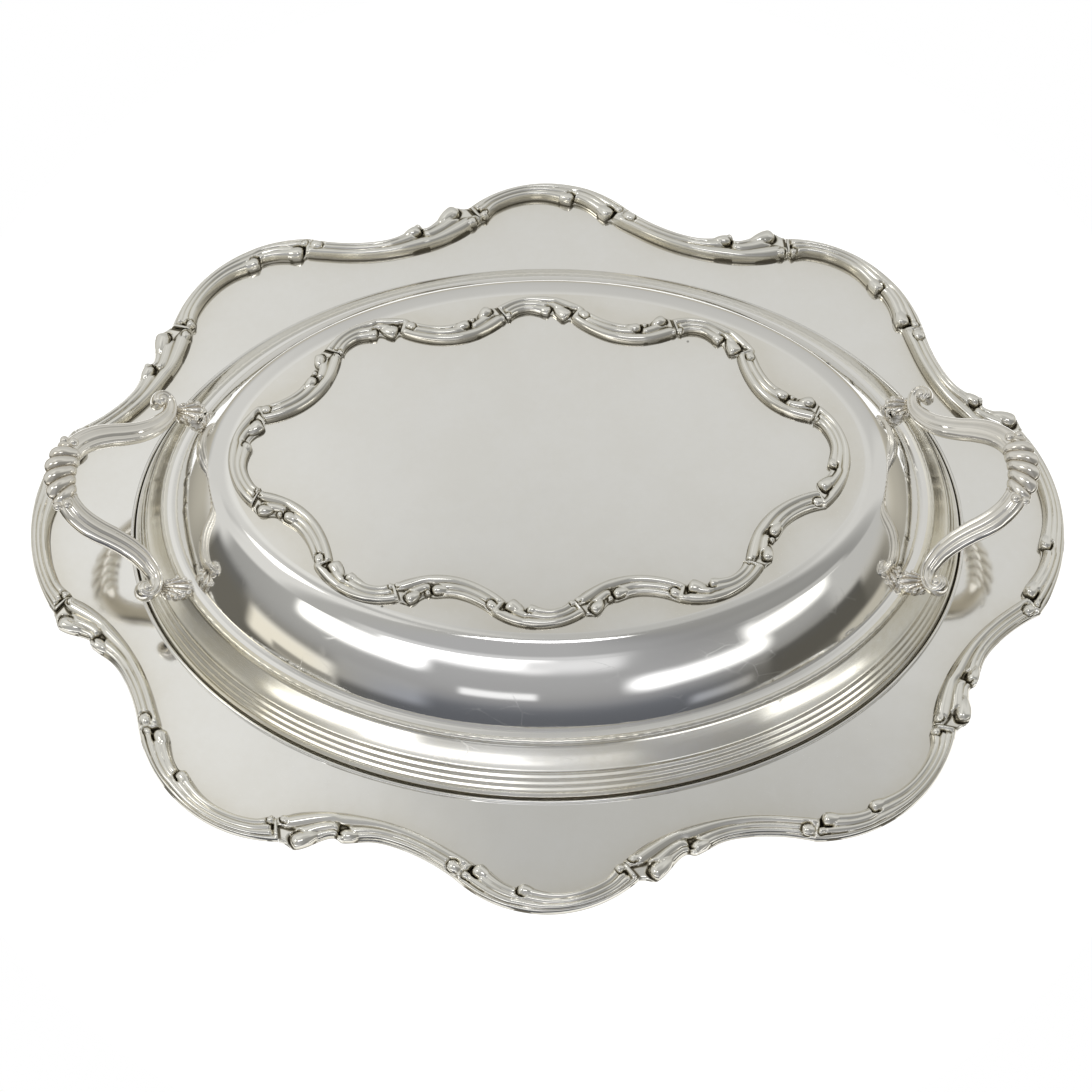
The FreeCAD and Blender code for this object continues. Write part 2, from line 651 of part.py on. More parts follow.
def make_handle(name, turned):
    """One cast handle, symmetrical about the long axis."""
    body = named_body(name)
    path = handle_path(body)
    section = body_sketch(body, "section", "XZ_Plane")
    section.AttachmentOffset = turned_start(Vector(0, 0, 1))
    reach = "(handle_bow_centre + handle_bow_radius)"
    bind(section, "AttachmentOffset.Base.x", f"handle_root_x + {reach} * cos(handle_tilt * 1deg)")
    bind(section, "AttachmentOffset.Base.y", f"handle_root_z + {reach} * sin(handle_tilt * 1deg)")
    bind(section, "AttachmentOffset.Base.z", "0")
    bind(section, "AttachmentOffset.Rotation.Angle", "handle_tilt")
    closed_outline(section, [(f"{across} * handle_bar_width", f"{up} * handle_bar_depth")
                             for across, up in bar_shares])
    doc.recompute()
    bar = body.newObject("PartDesign::AdditivePipe", "bar")
    bar.Profile = section
    bar.Spine = (path, ["Edge1", "Edge2"])
    bar.Mode = "Frenet"

    scroll = slope_sketch(body, "scroll_plan", "handle_bow_centre")
    bend = "(handle_bow_half_angle * 1deg)"
    back = "((handle_bow_half_angle - handle_arm_turn) * 1deg)"
    centre = [f"(handle_bow_radius + handle_arm_radius) * {f}({bend}) - "
              f"(handle_arm_radius - handle_scroll_reach) * {f}({back})" for f in ("cos", "sin")]
    circles(scroll, [(centre[0], centre[1], "handle_scroll_radius")])
    scroll_pad = pad(body, "scroll", scroll, "handle_scroll_depth")
    scroll_pad.Midplane = True

    leaf = plan_sketch(body, "leaf_plan", "ledge_top")
    dome = "(dome_foot + handle_leaf_clearance)"
    outline = [(f"({dome} + oval_extra) * sqrt(1 - {share} * {share})", f"{share} * {dome}")
               for share in leaf_dome_shares]
    tip_x = f"(handle_root_x + (handle_bow_centre + {centre[0]}) * cos(handle_tilt * 1deg))"
    tip_y = f"({centre[1]})"
    outline += [(f"{tip_x} + {dx} * handle_scroll_radius", f"{tip_y} + {dy} * handle_scroll_radius")
                for dx, dy in leaf_scroll_shares]
    closed_outline(leaf, outline)
    leaf_pad = pad(body, "leaf", leaf, "handle_leaf_rise")
    mirrored(body, "both_arms", [bar, scroll_pad, leaf_pad], path)

    rib = slope_sketch(body, "rib_plan", "handle_bow_centre")
    near = "(handle_bow_radius - handle_shell_inner)"
    far = "(handle_bow_radius + handle_shell_outer)"
    corners = [(f"{near} + {way} * ({far} - {near})", f"{wide} * handle_rib_width")
               for way, wide in rib_shares]
    corners += [(x, f"-{y}") for x, y in reversed(corners)]
    start = "(-(handle_rib_count - 1) / 2 * handle_rib_pitch * 1deg)"
    closed_outline(rib, [(f"({x}) * cos({start}) - ({y}) * sin({start})",
                          f"({x}) * sin({start}) + ({y}) * cos({start})") for x, y in corners])
    rib_pad = pad(body, "rib", rib, "handle_shell_depth")
    rib_pad.Midplane = True
    doc.recompute()
    fan = body.newObject("PartDesign::PolarPattern", "ribs")
    fan.Originals = [rib_pad]
    fan.Axis = (rib, ["N_Axis"])
    bind(fan, "Angle", "(handle_rib_count - 1) * handle_rib_pitch")
    bind(fan, "Occurrences", "handle_rib_count")
    body.Tip = fan
    half_turn(body, turned)
    return body


parts = [make_base_dish(), make_foot_ring(), make_lid_shell()]
parts += make_border("rim")
parts += make_border("lid")
parts += [make_handle("handle_right", False), make_handle("handle_left", True)]
doc.recompute()

# Checks and files
for item in doc.Objects:
    bad = [state for state in item.State if state in ("Invalid", "Error")]
    if bad:
        raise RuntimeError(f"{item.Name} failed: {bad}")
os.makedirs("parts", exist_ok=True)
for item in parts:
    shape = item.Shape
    if shape.isNull() or not shape.isValid():
        raise RuntimeError(f"{item.Label} has no valid shape")
    print(item.Label, "solids", len(shape.Solids), "volume", round(shape.Volume), "faces", len(shape.Faces))
    shape.exportStep(f"parts/{item.Label}.step")
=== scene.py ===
"""Visual model of an oval covered vegetable dish in silver plate.

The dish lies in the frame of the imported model, in metres, with +Z up and the long
axis along X. Sheet pieces are grids of numbers laid over one oval plan, castings are
height maps laid along the scalloped edges, and the handles are reeded bars carried
along a path. All sizes are in millimetres until make_object turns them into metres.
"""
import logging
import math
from dataclasses import dataclass, field
from enum import Enum

import bpy
import numpy as np
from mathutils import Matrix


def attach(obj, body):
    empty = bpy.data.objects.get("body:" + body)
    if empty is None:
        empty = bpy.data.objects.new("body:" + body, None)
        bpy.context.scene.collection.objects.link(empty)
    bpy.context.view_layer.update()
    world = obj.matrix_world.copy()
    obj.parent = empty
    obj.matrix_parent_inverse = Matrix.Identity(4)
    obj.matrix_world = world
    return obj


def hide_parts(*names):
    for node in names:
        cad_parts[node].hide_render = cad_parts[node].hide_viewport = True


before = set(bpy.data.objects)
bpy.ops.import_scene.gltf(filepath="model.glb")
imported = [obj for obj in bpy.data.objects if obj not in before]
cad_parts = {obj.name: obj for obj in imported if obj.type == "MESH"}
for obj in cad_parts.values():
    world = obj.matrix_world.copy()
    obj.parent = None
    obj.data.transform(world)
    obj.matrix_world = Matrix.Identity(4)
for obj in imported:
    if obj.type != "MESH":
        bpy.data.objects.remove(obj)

LOG = logging.getLogger("dish")
MM = 0.001
Array = np.ndarray
Plan = tuple[float, float]
Colour = tuple[float, float, float, float]
Socket = bpy.types.NodeSocket
Material = bpy.types.Material


class Slot(Enum):
    """Material slots of the record."""

    SHEET = "silver_sheet"
    CAST = "silver_cast"


class Body(Enum):
    """Bodies that the pieces ride on."""

    BASE = "base"
    LID = "lid"


# ---------------------------------------------------------------- number helpers


def smooth_step(value: Array, low: float, high: float) -> Array:
    """Rise smoothly from 0 to 1 between two values."""
    share = np.clip((value - low) / (high - low), 0.0, 1.0)
    return share * share * (3.0 - 2.0 * share)


def half_round(offset: Array, half_width: Array) -> Array:
    """Height of a half-round section, 1 at its middle and 0 outside its edges."""
    share = offset / np.maximum(half_width, 1e-6)
    return np.sqrt(np.clip(1.0 - share * share, 0.0, 1.0))


def dome(share: Array, power: float) -> Array:
    """Height 1 in the middle that falls to 0 at share 1: the root of 1 - share ** power."""
    return np.sqrt(np.clip(1 - share**power, 0, None))


def circle(count: int) -> Array:
    """Evenly spaced angles round a circle."""
    return np.linspace(0.0, 2 * math.pi, count, endpoint=False)


def unit_ball(reach: float, rings: int, around: int) -> Array:
    """Rings of points on a ball of radius 1, from low to high.

    Args:
        reach: Latitude of the last ring in degrees.
        rings: How many rings.
        around: Points in a ring.

    Returns:
        Array of rings.
    """
    lat = np.radians(np.linspace(-reach, reach, rings))[:, None]
    lon = circle(around)[None]
    return np.stack([np.cos(lat) * np.cos(lon), np.cos(lat) * np.sin(lon),
                     np.sin(lat) * np.ones_like(lon)], axis=-1)


def running_area(values: Array, step: float) -> Array:
    """Area under evenly spaced values up to each of them."""
    return np.concatenate([[0.0], np.cumsum((values[1:] + values[:-1]) / 2 * step)])


def through(points: list[Plan], count: int) -> Array:
    """Smooth curve through points.

    Each stretch is a cubic whose end slopes follow the neighbouring points, timed by
    the root of its length.

    Args:
        points: Points to pass through.
        count: How many points to return, evenly along the curve.

    Returns:
        Array of points.
    """
    pts = np.asarray(points, float)
    gaps = np.linalg.norm(np.diff(pts, axis=0), axis=1) ** 0.5
    knots = np.concatenate([[0.0], np.cumsum(gaps)])
    slopes = np.gradient(pts, knots, axis=0)
    when = np.linspace(0.0, knots[-1], count * 4)
    cell = np.clip(np.searchsorted(knots, when, side="right") - 1, 0, len(gaps) - 1)
    step = gaps[cell][:, None]
    u = (when - knots[cell])[:, None] / step
    curve = ((2 * u**3 - 3 * u**2 + 1) * pts[cell] + (u**3 - 2 * u**2 + u) * step * slopes[cell]
             + (3 * u**2 - 2 * u**3) * pts[cell + 1] + (u**3 - u**2) * step * slopes[cell + 1])
    run = np.concatenate([[0.0], np.cumsum(np.linalg.norm(np.diff(curve, axis=0), axis=1))])
    want = np.linspace(0.0, run[-1], count)
    return np.stack([np.interp(want, run, curve[:, k]) for k in (0, 1)], axis=1)


def filled_profile(corners: list[Plan], step: float) -> Array:
    """Corner points of a section with points added between them.

    Args:
        corners: Points of the section in order.
        step: Largest distance wanted between points.

    Returns:
        Array of points, the corners among them.
    """
    pts = np.asarray(corners, float)
    rows = [pts[:1]]
    for a, b in zip(pts[:-1], pts[1:]):
        parts = max(1, int(math.ceil(np.linalg.norm(b - a) / step)))
        rows.append(a + (b - a) * np.linspace(0.0, 1.0, parts + 1)[1:, None])
    return np.concatenate(rows)


# ---------------------------------------------------------------- mesh helpers


@dataclass
class Shell:
    """Closed skin.

    Attributes:
        points: Vertices.
        faces: Faces.
        recess: Value for each vertex, 0 to 1: warm film, and painted shade in hollows, gaps and at feet; on
            the lid's wall also a painted reflection.
    """

    points: Array
    faces: list[list[int]]
    recess: Array

    @staticmethod
    def join(shells: "list[Shell]") -> "Shell":
        """Several skins as one list of vertices and faces.

        Args:
            shells: Skins to join.

        Returns:
            One skin holding them all.
        """
        start, faces = 0, []
        for shell in shells:
            faces += [[v + start for v in face] for face in shell.faces]
            start += len(shell.points)
        return Shell(np.concatenate([s.points for s in shells]), faces,
                     np.concatenate([s.recess for s in shells]))

    def turned_out(self) -> "Shell":
        """The same skin with its faces turned outward, judged by its signed volume.

        Returns:
            The skin itself or a copy with every face reversed.
        """
        corners = [(f[0], f[k], f[k + 1]) for f in self.faces for k in range(1, len(f) - 1)]
        tri = self.points[np.array(corners)]
        volume = np.einsum("ij,ij->i", tri[:, 0], np.cross(tri[:, 1], tri[:, 2])).sum()
        return self if volume > 0 else Shell(self.points, [f[::-1] for f in self.faces], self.recess)


def tube_faces(rings: int, around: int, wrap: bool = False) -> list[list[int]]:
    """Quads between rings of vertices, each ring closed on itself.

    Args:
        rings: How many rings.
        around: Vertices in a ring.
        wrap: Join the last ring to the first.

    Returns:
        List of faces.
    """
    row = np.arange(rings if wrap else rings - 1)[:, None] * around
    above = (row + around) % (rings * around)
    col = np.arange(around)[None, :]
    nxt = (col + 1) % around
    return np.stack([row + col, row + nxt, above + nxt, above + col], axis=-1).reshape(-1, 4).tolist()


def closed_tube(rings: Array, start: Array, end: Array, recess: Array | None = None) -> Shell:
    """Skin from rings of points, closed at each end with a fan to one point.

    Args:
        rings: Array of rings, points round a ring, three coordinates.
        start: Point that closes the first ring.
        end: Point that closes the last ring.
        recess: Value for each ring point, for warm film and painted shade, 0 where left out.

    Returns:
        The closed skin.
    """
    count, around, _ = rings.shape
    points = np.concatenate([rings.reshape(-1, 3), start[None], end[None]])
    col = np.arange(around)
    nxt = (col + 1) % around
    last = (count - 1) * around
    faces = tube_faces(count, around)
    for first, second, tip in ((nxt, col, count * around), (last + col, last + nxt, count * around + 1)):
        faces += np.stack([first, second, np.full(around, tip)], axis=1).tolist()
    values = np.zeros(len(points))
    if recess is not None:
        values[:-2] = recess.reshape(-1)
    return Shell(points, faces, values).turned_out()


def make_object(name: str, shell: Shell, material: Material, body: Body, slot: Slot,
                *nodes: str, sharp: float = 42.0) -> bpy.types.Object:
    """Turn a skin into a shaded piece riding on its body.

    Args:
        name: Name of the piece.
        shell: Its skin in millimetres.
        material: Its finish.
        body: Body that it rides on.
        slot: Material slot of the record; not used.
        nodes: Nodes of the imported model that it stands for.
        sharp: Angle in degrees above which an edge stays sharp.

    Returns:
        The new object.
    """
    mesh = bpy.data.meshes.new(name)
    mesh.from_pydata((shell.points * MM).tolist(), [], shell.faces)
    # The vertex value drives the warm film and the painted shade in the finishes
    mesh.attributes.new("recess", "FLOAT", "POINT").data.foreach_set(
        "value", shell.recess.astype(np.float32))
    mesh.polygons.foreach_set("use_smooth", np.ones(len(mesh.polygons), dtype=bool))
    mesh.set_sharp_from_angle(angle=math.radians(sharp))
    mesh.materials.append(material)
    mesh.update()
    obj = bpy.data.objects.new(name, mesh)
    bpy.context.scene.collection.objects.link(obj)
    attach(obj, body.value)
    if nodes:
        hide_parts(*nodes)
    LOG.info("%s: %d faces", name, len(mesh.polygons))
    return obj


# ---------------------------------------------------------------- finishes


class NodeTree:
    """Short way to add and join shader nodes."""

    def __init__(self, tree: bpy.types.NodeTree) -> None:
        """Start with an empty tree."""
        self.tree = tree
        tree.nodes.clear()

    def add(self, kind: str, inputs: dict | None = None, **props: object) -> bpy.types.Node:
        """Add one node.

        Args:
            kind: Blender type of the node.
            inputs: Socket name or number to a constant or to another node's socket.
            props: Settings of the node.

        Returns:
            The node.
        """
        node = self.tree.nodes.new(kind)
        for key, value in props.items():
            setattr(node, key, value)
        for key, value in (inputs or {}).items():
            if isinstance(value, Socket):
                self.tree.links.new(value, node.inputs[key])
            else:
                node.inputs[key].default_value = value
        return node

    def math(self, operation: str, *values: object, clamp: bool = False) -> Socket:
        """Arithmetic on numbers or sockets."""
        return self.add("ShaderNodeMath", dict(enumerate(values)), operation=operation,
                        use_clamp=clamp).outputs[0]

    def mix(self, share: object, first: object, second: object) -> Socket:
        """Blend of two colours."""
        return self.add("ShaderNodeMix", {0: share, 6: first, 7: second}, data_type="RGBA").outputs[2]

    def scaled(self, vector: Socket, scale: tuple[float, float, float]) -> Socket:
        """Coordinates stretched along the axes."""
        return self.add("ShaderNodeVectorMath", {0: vector, 1: scale}, operation="MULTIPLY").outputs[0]

    def ramp(self, value: object, low: float, high: float) -> Socket:
        """Smooth rise from 0 to 1."""
        return self.add("ShaderNodeMapRange", {0: value, 1: low, 2: high, 3: 0.0, 4: 1.0},
                        interpolation_type="SMOOTHSTEP").outputs[0]

    def fall(self, value: object, low: float, high: float) -> Socket:
        """Smooth fall from 1 to 0, the opposite of ramp."""
        return self.math("SUBTRACT", 1.0, self.ramp(value, low, high))

    def noise(self, at: Socket, scale: float, detail: float, roughness: float = 0.5) -> bpy.types.Node:
        """Noise texture."""
        return self.add("ShaderNodeTexNoise", {"Vector": at, "Scale": scale, "Detail": detail,
                                               "Roughness": roughness})

    def group(self, tree: bpy.types.NodeTree, *inputs: object) -> Socket:
        """Use of a node group."""
        return self.add("ShaderNodeGroup", dict(enumerate(inputs)), node_tree=tree).outputs[0]


class Effects:
    """Surface effects shared by the finishes, each a shader node group with one output."""

    def __init__(self) -> None:
        """Build the groups."""
        self.brush = self._brush()
        self.scratches = self._scratches()
        self.tarnish = self._tarnish()
        self.pits = self._pits()
        self.waves = self._waves()

    @staticmethod
    def _open(name: str, output: str, **numbers: float) -> tuple[NodeTree, list[Socket]]:
        """Start a group that takes coordinates and numbers and gives one number.

        Args:
            name: Name of the group.
            output: Name of its output.
            numbers: Names and defaults of the numbers.

        Returns:
            The tree to fill and its inputs.
        """
        tree = bpy.data.node_groups.new(name, "ShaderNodeTree")
        tree.interface.new_socket(name="Vector", in_out="INPUT", socket_type="NodeSocketVector")
        for label, default in numbers.items():
            tree.interface.new_socket(name=label, in_out="INPUT",
                                      socket_type="NodeSocketFloat").default_value = default
        tree.interface.new_socket(name=output, in_out="OUTPUT", socket_type="NodeSocketFloat")
        n = NodeTree(tree)
        return n, list(n.add("NodeGroupInput").outputs)

    @staticmethod
    def _close(n: NodeTree, result: Socket) -> bpy.types.NodeTree:
        """Finish a group."""
        n.add("NodeGroupOutput", {0: result})
        return n.tree

    def _brush(self) -> bpy.types.NodeTree:
        """Fine parallel polishing lines along X, broken up by slow noise."""
        n, (at, *_) = self._open("brush_lines", "Height")
        fine = n.noise(n.scaled(at, (45.0, 2600.0, 60.0)), 1.0, 3.0, 0.65).outputs[0]
        broad = n.noise(n.scaled(at, (22.0, 700.0, 30.0)), 1.0, 2.0).outputs[0]
        both = n.math("ADD", fine, n.math("MULTIPLY", broad, 0.5))
        patch = n.noise(at, 26.0, 2.0).outputs[0]
        return self._close(n, n.math("MULTIPLY", both, n.ramp(patch, 0.25, 0.75)))

    def _scratches(self) -> bpy.types.NodeTree:
        """Hair scratches: thin lines between bent cells, kept only where a slow noise allows."""
        n, (at, scale, *_) = self._open("hair_scratches", "Mask", Scale=60.0)
        shift = n.scaled(n.noise(at, 35.0, 1.0).outputs[1], (0.02, 0.02, 0.02))
        bent = n.add("ShaderNodeVectorMath", {0: at, 1: shift}, operation="ADD").outputs[0]
        cells = n.add("ShaderNodeTexVoronoi", {"Vector": n.scaled(bent, (1.0, 2.4, 1.0)), "Scale": scale},
                      feature="DISTANCE_TO_EDGE")
        patch = n.noise(at, 55.0, 2.0).outputs[0]
        return self._close(n, n.math("MULTIPLY", n.fall(cells.outputs[0], 0.0, 0.022),
                                     n.ramp(patch, 0.52, 0.66)))

    def _tarnish(self) -> bpy.types.NodeTree:
        """Warm film from the vertex value and two noises: tarnish on open surfaces, tarnish and painted
        shade in recesses and gaps.
        """
        n, (at, recess, spread, *_) = self._open("warm_tarnish", "Mask", Recess=0.0, Spread=0.5)
        slow = n.noise(at, 48.0, 4.0, 0.6).outputs[0]
        fine = n.noise(at, 420.0, 2.0).outputs[0]
        cloud = n.math("ADD", n.math("MULTIPLY", slow, 0.75), n.math("MULTIPLY", fine, 0.25))
        lift = n.math("MULTIPLY", n.ramp(cloud, 0.30, 0.68), spread)
        # Film in recesses and gaps: tarnish and painted shade
        deep = n.math("MULTIPLY", recess, n.math("ADD", 0.55, n.math("MULTIPLY", cloud, 0.7)))
        return self._close(n, n.math("ADD", lift, deep, clamp=True))

    def _pits(self) -> bpy.types.NodeTree:
        """Few small dark specks: the middles of some cells of a sparse pattern."""
        n, (at, *_) = self._open("dark_pits", "Mask")
        cells = n.add("ShaderNodeTexVoronoi", {"Vector": at, "Scale": 62.0}, feature="F1")
        pick = n.add("ShaderNodeSeparateColor", {0: cells.outputs[1]}).outputs[0]
        return self._close(n, n.math("MULTIPLY", n.fall(cells.outputs[0], 0.022, 0.045),
                                     n.math("GREATER_THAN", pick, 0.80)))

    def _waves(self) -> bpy.types.NodeTree:
        """Slow unevenness of hand-finished sheet."""
        n, (at, *_) = self._open("slow_waves", "Height")
        slow, mid = n.noise(at, 14.0, 1.0).outputs[0], n.noise(at, 60.0, 1.0).outputs[0]
        return self._close(n, n.math("ADD", slow, n.math("MULTIPLY", mid, 0.16)))


# Colours of the near-black in the deepest recesses, dirt and painted shade, and of the dark specks
DIRT: Colour = (0.065, 0.054, 0.034, 1.0)
SPECK: Colour = (0.10, 0.09, 0.08, 1.0)


@dataclass(frozen=True)
class Finish:
    """Look of one kind of silver surface.

    Attributes:
        name: Name of the material.
        silver: Colour of clean metal.
        film: Colour of metal under the warm film, which in recesses and gaps is also painted shade.
        roughness: Roughness of clean metal.
        film_roughness: Roughness added under the film.
        film_share: Strength of the film, on open surfaces and in recesses, where it is also painted shade.
        grime: Strength of the near-black in the deepest recesses, gaps and feet: dirt and painted shade.
        spread: Film on open surfaces.
        brush: Depth of the polishing lines in metres.
        waves: Depth of the sheet's unevenness in metres.
        scratch: Strength of the hair scratches.
        pits: Strength of the dark specks.
        texture_scale: Cells of the scratch pattern in a metre.
    """

    name: str
    silver: Colour
    film: Colour = (0.60, 0.50, 0.36, 1.0)
    roughness: float = 0.10
    film_roughness: float = 0.18
    film_share: float = 0.6
    grime: float = 0.9
    spread: float = 0.1
    brush: float = 0.0
    waves: float = 0.0
    scratch: float = 0.0
    pits: float = 0.0
    texture_scale: float = 60.0

    def build(self, effects: Effects) -> Material:
        """Make the material.

        Args:
            effects: Shared node groups.

        Returns:
            The new material.
        """
        material = bpy.data.materials.new(self.name)
        material.use_nodes = True
        n = NodeTree(material.node_tree)
        at = n.add("ShaderNodeTexCoord").outputs["Object"]
        recess = n.add("ShaderNodeAttribute", attribute_name="recess").outputs["Fac"]
        film = n.group(effects.tarnish, at, recess, self.spread)
        # Each layer: its mask, its colour and the roughness that it adds
        layers = [(n.math("MULTIPLY", film, self.film_share, clamp=True), self.film, self.film_roughness),
                  # Near-black in the deepest recesses, gaps and feet: dirt and painted shade
                  (n.math("MULTIPLY", n.ramp(recess, 0.72, 0.98), self.grime), DIRT, 0.3)]
        if self.pits:
            layers.append((n.math("MULTIPLY", n.group(effects.pits, at), self.pits), SPECK, 0.4))
        colour, rough = self.silver, self.roughness
        for mask, tone, more in layers:
            colour = n.mix(mask, colour, tone)
            rough = n.math("ADD", rough, n.math("MULTIPLY", mask, more))
        if self.scratch:
            lines = n.group(effects.scratches, at, self.texture_scale)
            rough = n.math("ADD", rough, n.math("MULTIPLY", lines, self.scratch))
        inputs = {"Base Color": colour, "Metallic": 1.0, "Roughness": rough}
        for depth, tree in ((self.waves, effects.waves), (self.brush, effects.brush)):
            if depth:
                bump = {"Height": n.group(tree, at), "Strength": 1.0, "Distance": depth}
                if "Normal" in inputs:
                    bump["Normal"] = inputs["Normal"]
                inputs["Normal"] = n.add("ShaderNodeBump", bump).outputs[0]
        principled = n.add("ShaderNodeBsdfPrincipled", inputs)
        n.add("ShaderNodeOutputMaterial", {0: principled.outputs[0]})
        return material


@dataclass(frozen=True)
class Palette:
    """All finishes of the dish."""

    plate: Finish = Finish("silver_plate", silver=(0.953, 0.950, 0.935, 1.0), film=(0.68, 0.62, 0.47, 1.0),
                           roughness=0.07, spread=0.10, film_share=0.75, brush=0.0000016, waves=0.00035,
                           scratch=0.06, pits=0.8)
    mirror: Finish = Finish("silver_mirror", silver=(0.95, 0.945, 0.93, 1.0), roughness=0.06,
                            film_roughness=0.12, spread=0.05, film_share=0.5, brush=0.0000012,
                            waves=0.0002, scratch=0.14, texture_scale=90.0)
    # Wall: its film colour also carries the painted reflection tint laid on the wall
    wall: Finish = Finish("silver_wall", silver=(0.95, 0.94, 0.90, 1.0), film=(0.69, 0.615, 0.40, 1.0),
                          roughness=0.12, film_roughness=0.10, spread=0.30, film_share=0.6, waves=0.0002,
                          scratch=0.16, texture_scale=110.0)
    # Castings and handles: dark film and strong dirt, partly painted shade in their hollows
    cast: Finish = Finish("silver_cast", silver=(0.95, 0.94, 0.895, 1.0), roughness=0.055, spread=0.10,
                          film_share=0.85, film=(0.40, 0.355, 0.245, 1.0), grime=0.8, waves=0.00006,
                          scratch=0.05, texture_scale=200.0)
    handle: Finish = Finish("silver_handle", silver=(0.95, 0.93, 0.88, 1.0), roughness=0.06, spread=0.14,
                            film_share=0.85, film=(0.46, 0.395, 0.285, 1.0), grime=0.7, scratch=0.05,
                            texture_scale=160.0)


# ---------------------------------------------------------------- oval plan


@dataclass
class OvalPlan:
    """Family of parallel ovals round the dish.

    Every ring with short half axis b is the inner curve plus b along the same normals,
    so steps keep one width. The inner curve's radius is stepped by angle and smoothed,
    then a constant and a cosine are added so that it ends on both axes.

    Attributes:
        STEPS: Radius of the inner curve up to each angle, in degrees.
        SOFT: Width over which the steps are smoothed, in samples of 0.045 degrees.
        MEAN_HALF: Half axis of the ring on which the points lie evenly.
        extra: Long half axis less the short one.
        around: Points round a ring.
        base: Points of the inner curve.
        normal: Unit normals at these points.
    """

    STEPS = ((37.27, -23.42), (65.76, 20.42), (90.0, 89.923))
    SOFT = 180
    MEAN_HALF = 95.0

    extra: float = 40.0
    around: int = 480
    base: Array = field(init=False)
    normal: Array = field(init=False)

    def __post_init__(self) -> None:
        """Work out the inner curve and its normals."""
        fine = np.linspace(0.0, math.pi / 2, 2001)
        (turn1, low), (turn2, mid), (_, high) = self.STEPS
        steps = np.where(fine < math.radians(turn1), low, np.where(fine < math.radians(turn2), mid, high))
        mirrored = np.concatenate([steps[::-1][:-1], steps, steps[::-1][1:]])
        kernel = np.exp(-0.5 * (np.arange(-3 * self.SOFT, 3 * self.SOFT + 1) / self.SOFT) ** 2)
        more = np.convolve(mirrored, kernel / kernel.sum(), mode="same")[2000:4001]
        shapes = np.stack([np.ones_like(fine), np.cos(2 * fine)])
        matrix = np.array([[np.trapz(shape * wave, fine) for shape in shapes]
                           for wave in (np.sin(fine), np.cos(fine))])
        missing = np.array([self.extra - np.trapz(more * np.sin(fine), fine),
                            -np.trapz(more * np.cos(fine), fine)])
        more = more + np.linalg.solve(matrix, missing) @ shapes
        step = fine[1] - fine[0]
        x = self.extra + running_area(-more * np.sin(fine), step)
        y = running_area(more * np.cos(fine), step)
        run = running_area(more + self.MEAN_HALF, step)
        angle = np.interp(np.linspace(0.0, run[-1], self.around // 4 + 1), run, fine)
        qx, qy = np.interp(angle, fine, x), np.interp(angle, fine, y)
        back = angle[::-1][:-1]
        turn = np.concatenate([angle[:-1], math.pi - back, math.pi + angle[:-1], 2 * math.pi - back])
        bx = np.concatenate([qx[:-1], -qx[::-1][:-1], -qx[:-1], qx[::-1][:-1]])
        by = np.concatenate([qy[:-1], qy[::-1][:-1], -qy[:-1], -qy[::-1][:-1]])
        self.base = np.stack([bx, by], axis=1)
        self.normal = np.stack([np.cos(turn), np.sin(turn)], axis=1)

    def ring(self, half: Array | float, height: float) -> Array:
        """Points of one ring."""
        plan = self.base + self.normal * np.reshape(half, (-1, 1))
        return np.concatenate([plan, np.full((self.around, 1), height)], axis=1)

    def lathe(self, section: Array) -> Array:
        """Rings of a section carried round the oval."""
        return np.stack([self.ring(half, height) for half, height in section])

    def shrunk(self, half: float, height: float, shares: Array) -> Array:
        """Rings shrunk toward the centre, for a flat middle.

        Args:
            half: Short half axis of the full ring.
            height: Height of the flat.
            shares: Size of each ring as a share of the full one.

        Returns:
            Array of rings.
        """
        rings = self.ring(half, 0.0)[None] * np.reshape(shares, (-1, 1, 1))
        rings[:, :, 2] = height
        return rings


# ---------------------------------------------------------------- scalloped edges


@dataclass(frozen=True)
class Scallop:
    """One arc of a scalloped edge, walked clockwise.

    Attributes:
        start: First point.
        end: Last point.
        bulge: Distance of the arc's middle from its chord.
        outward: True where the arc bulges out, false for a hollow.
    """

    start: Plan
    end: Plan
    bulge: float
    outward: bool

    def turned(self) -> "Scallop":
        """The same arc after half a turn about the centre."""
        return Scallop((-self.start[0], -self.start[1]), (-self.end[0], -self.end[1]), self.bulge,
                       self.outward)

    @property
    def radius(self) -> float:
        """Radius of the arc."""
        half = math.dist(self.start, self.end) / 2
        return (half * half + self.bulge * self.bulge) / (2 * self.bulge)

    @property
    def length(self) -> float:
        """Length along the arc."""
        return 2 * self.radius * math.asin(math.dist(self.start, self.end) / 2 / self.radius)

    def walk(self, run: Array) -> tuple[Array, Array]:
        """Points and outward normals at distances along the arc.

        Args:
            run: Distances from the start.

        Returns:
            Array of points and array of unit normals.
        """
        a, b = np.array(self.start), np.array(self.end)
        left = np.array([a[1] - b[1], b[0] - a[0]]) / np.linalg.norm(b - a)
        side = 1.0 if self.outward else -1.0
        centre = (a + b) / 2 - side * left * (self.radius - self.bulge)
        angle = math.atan2(*(a - centre)[::-1]) - side * run / self.radius
        spoke = np.stack([np.cos(angle), np.sin(angle)], axis=1)
        return centre + self.radius * spoke, side * spoke


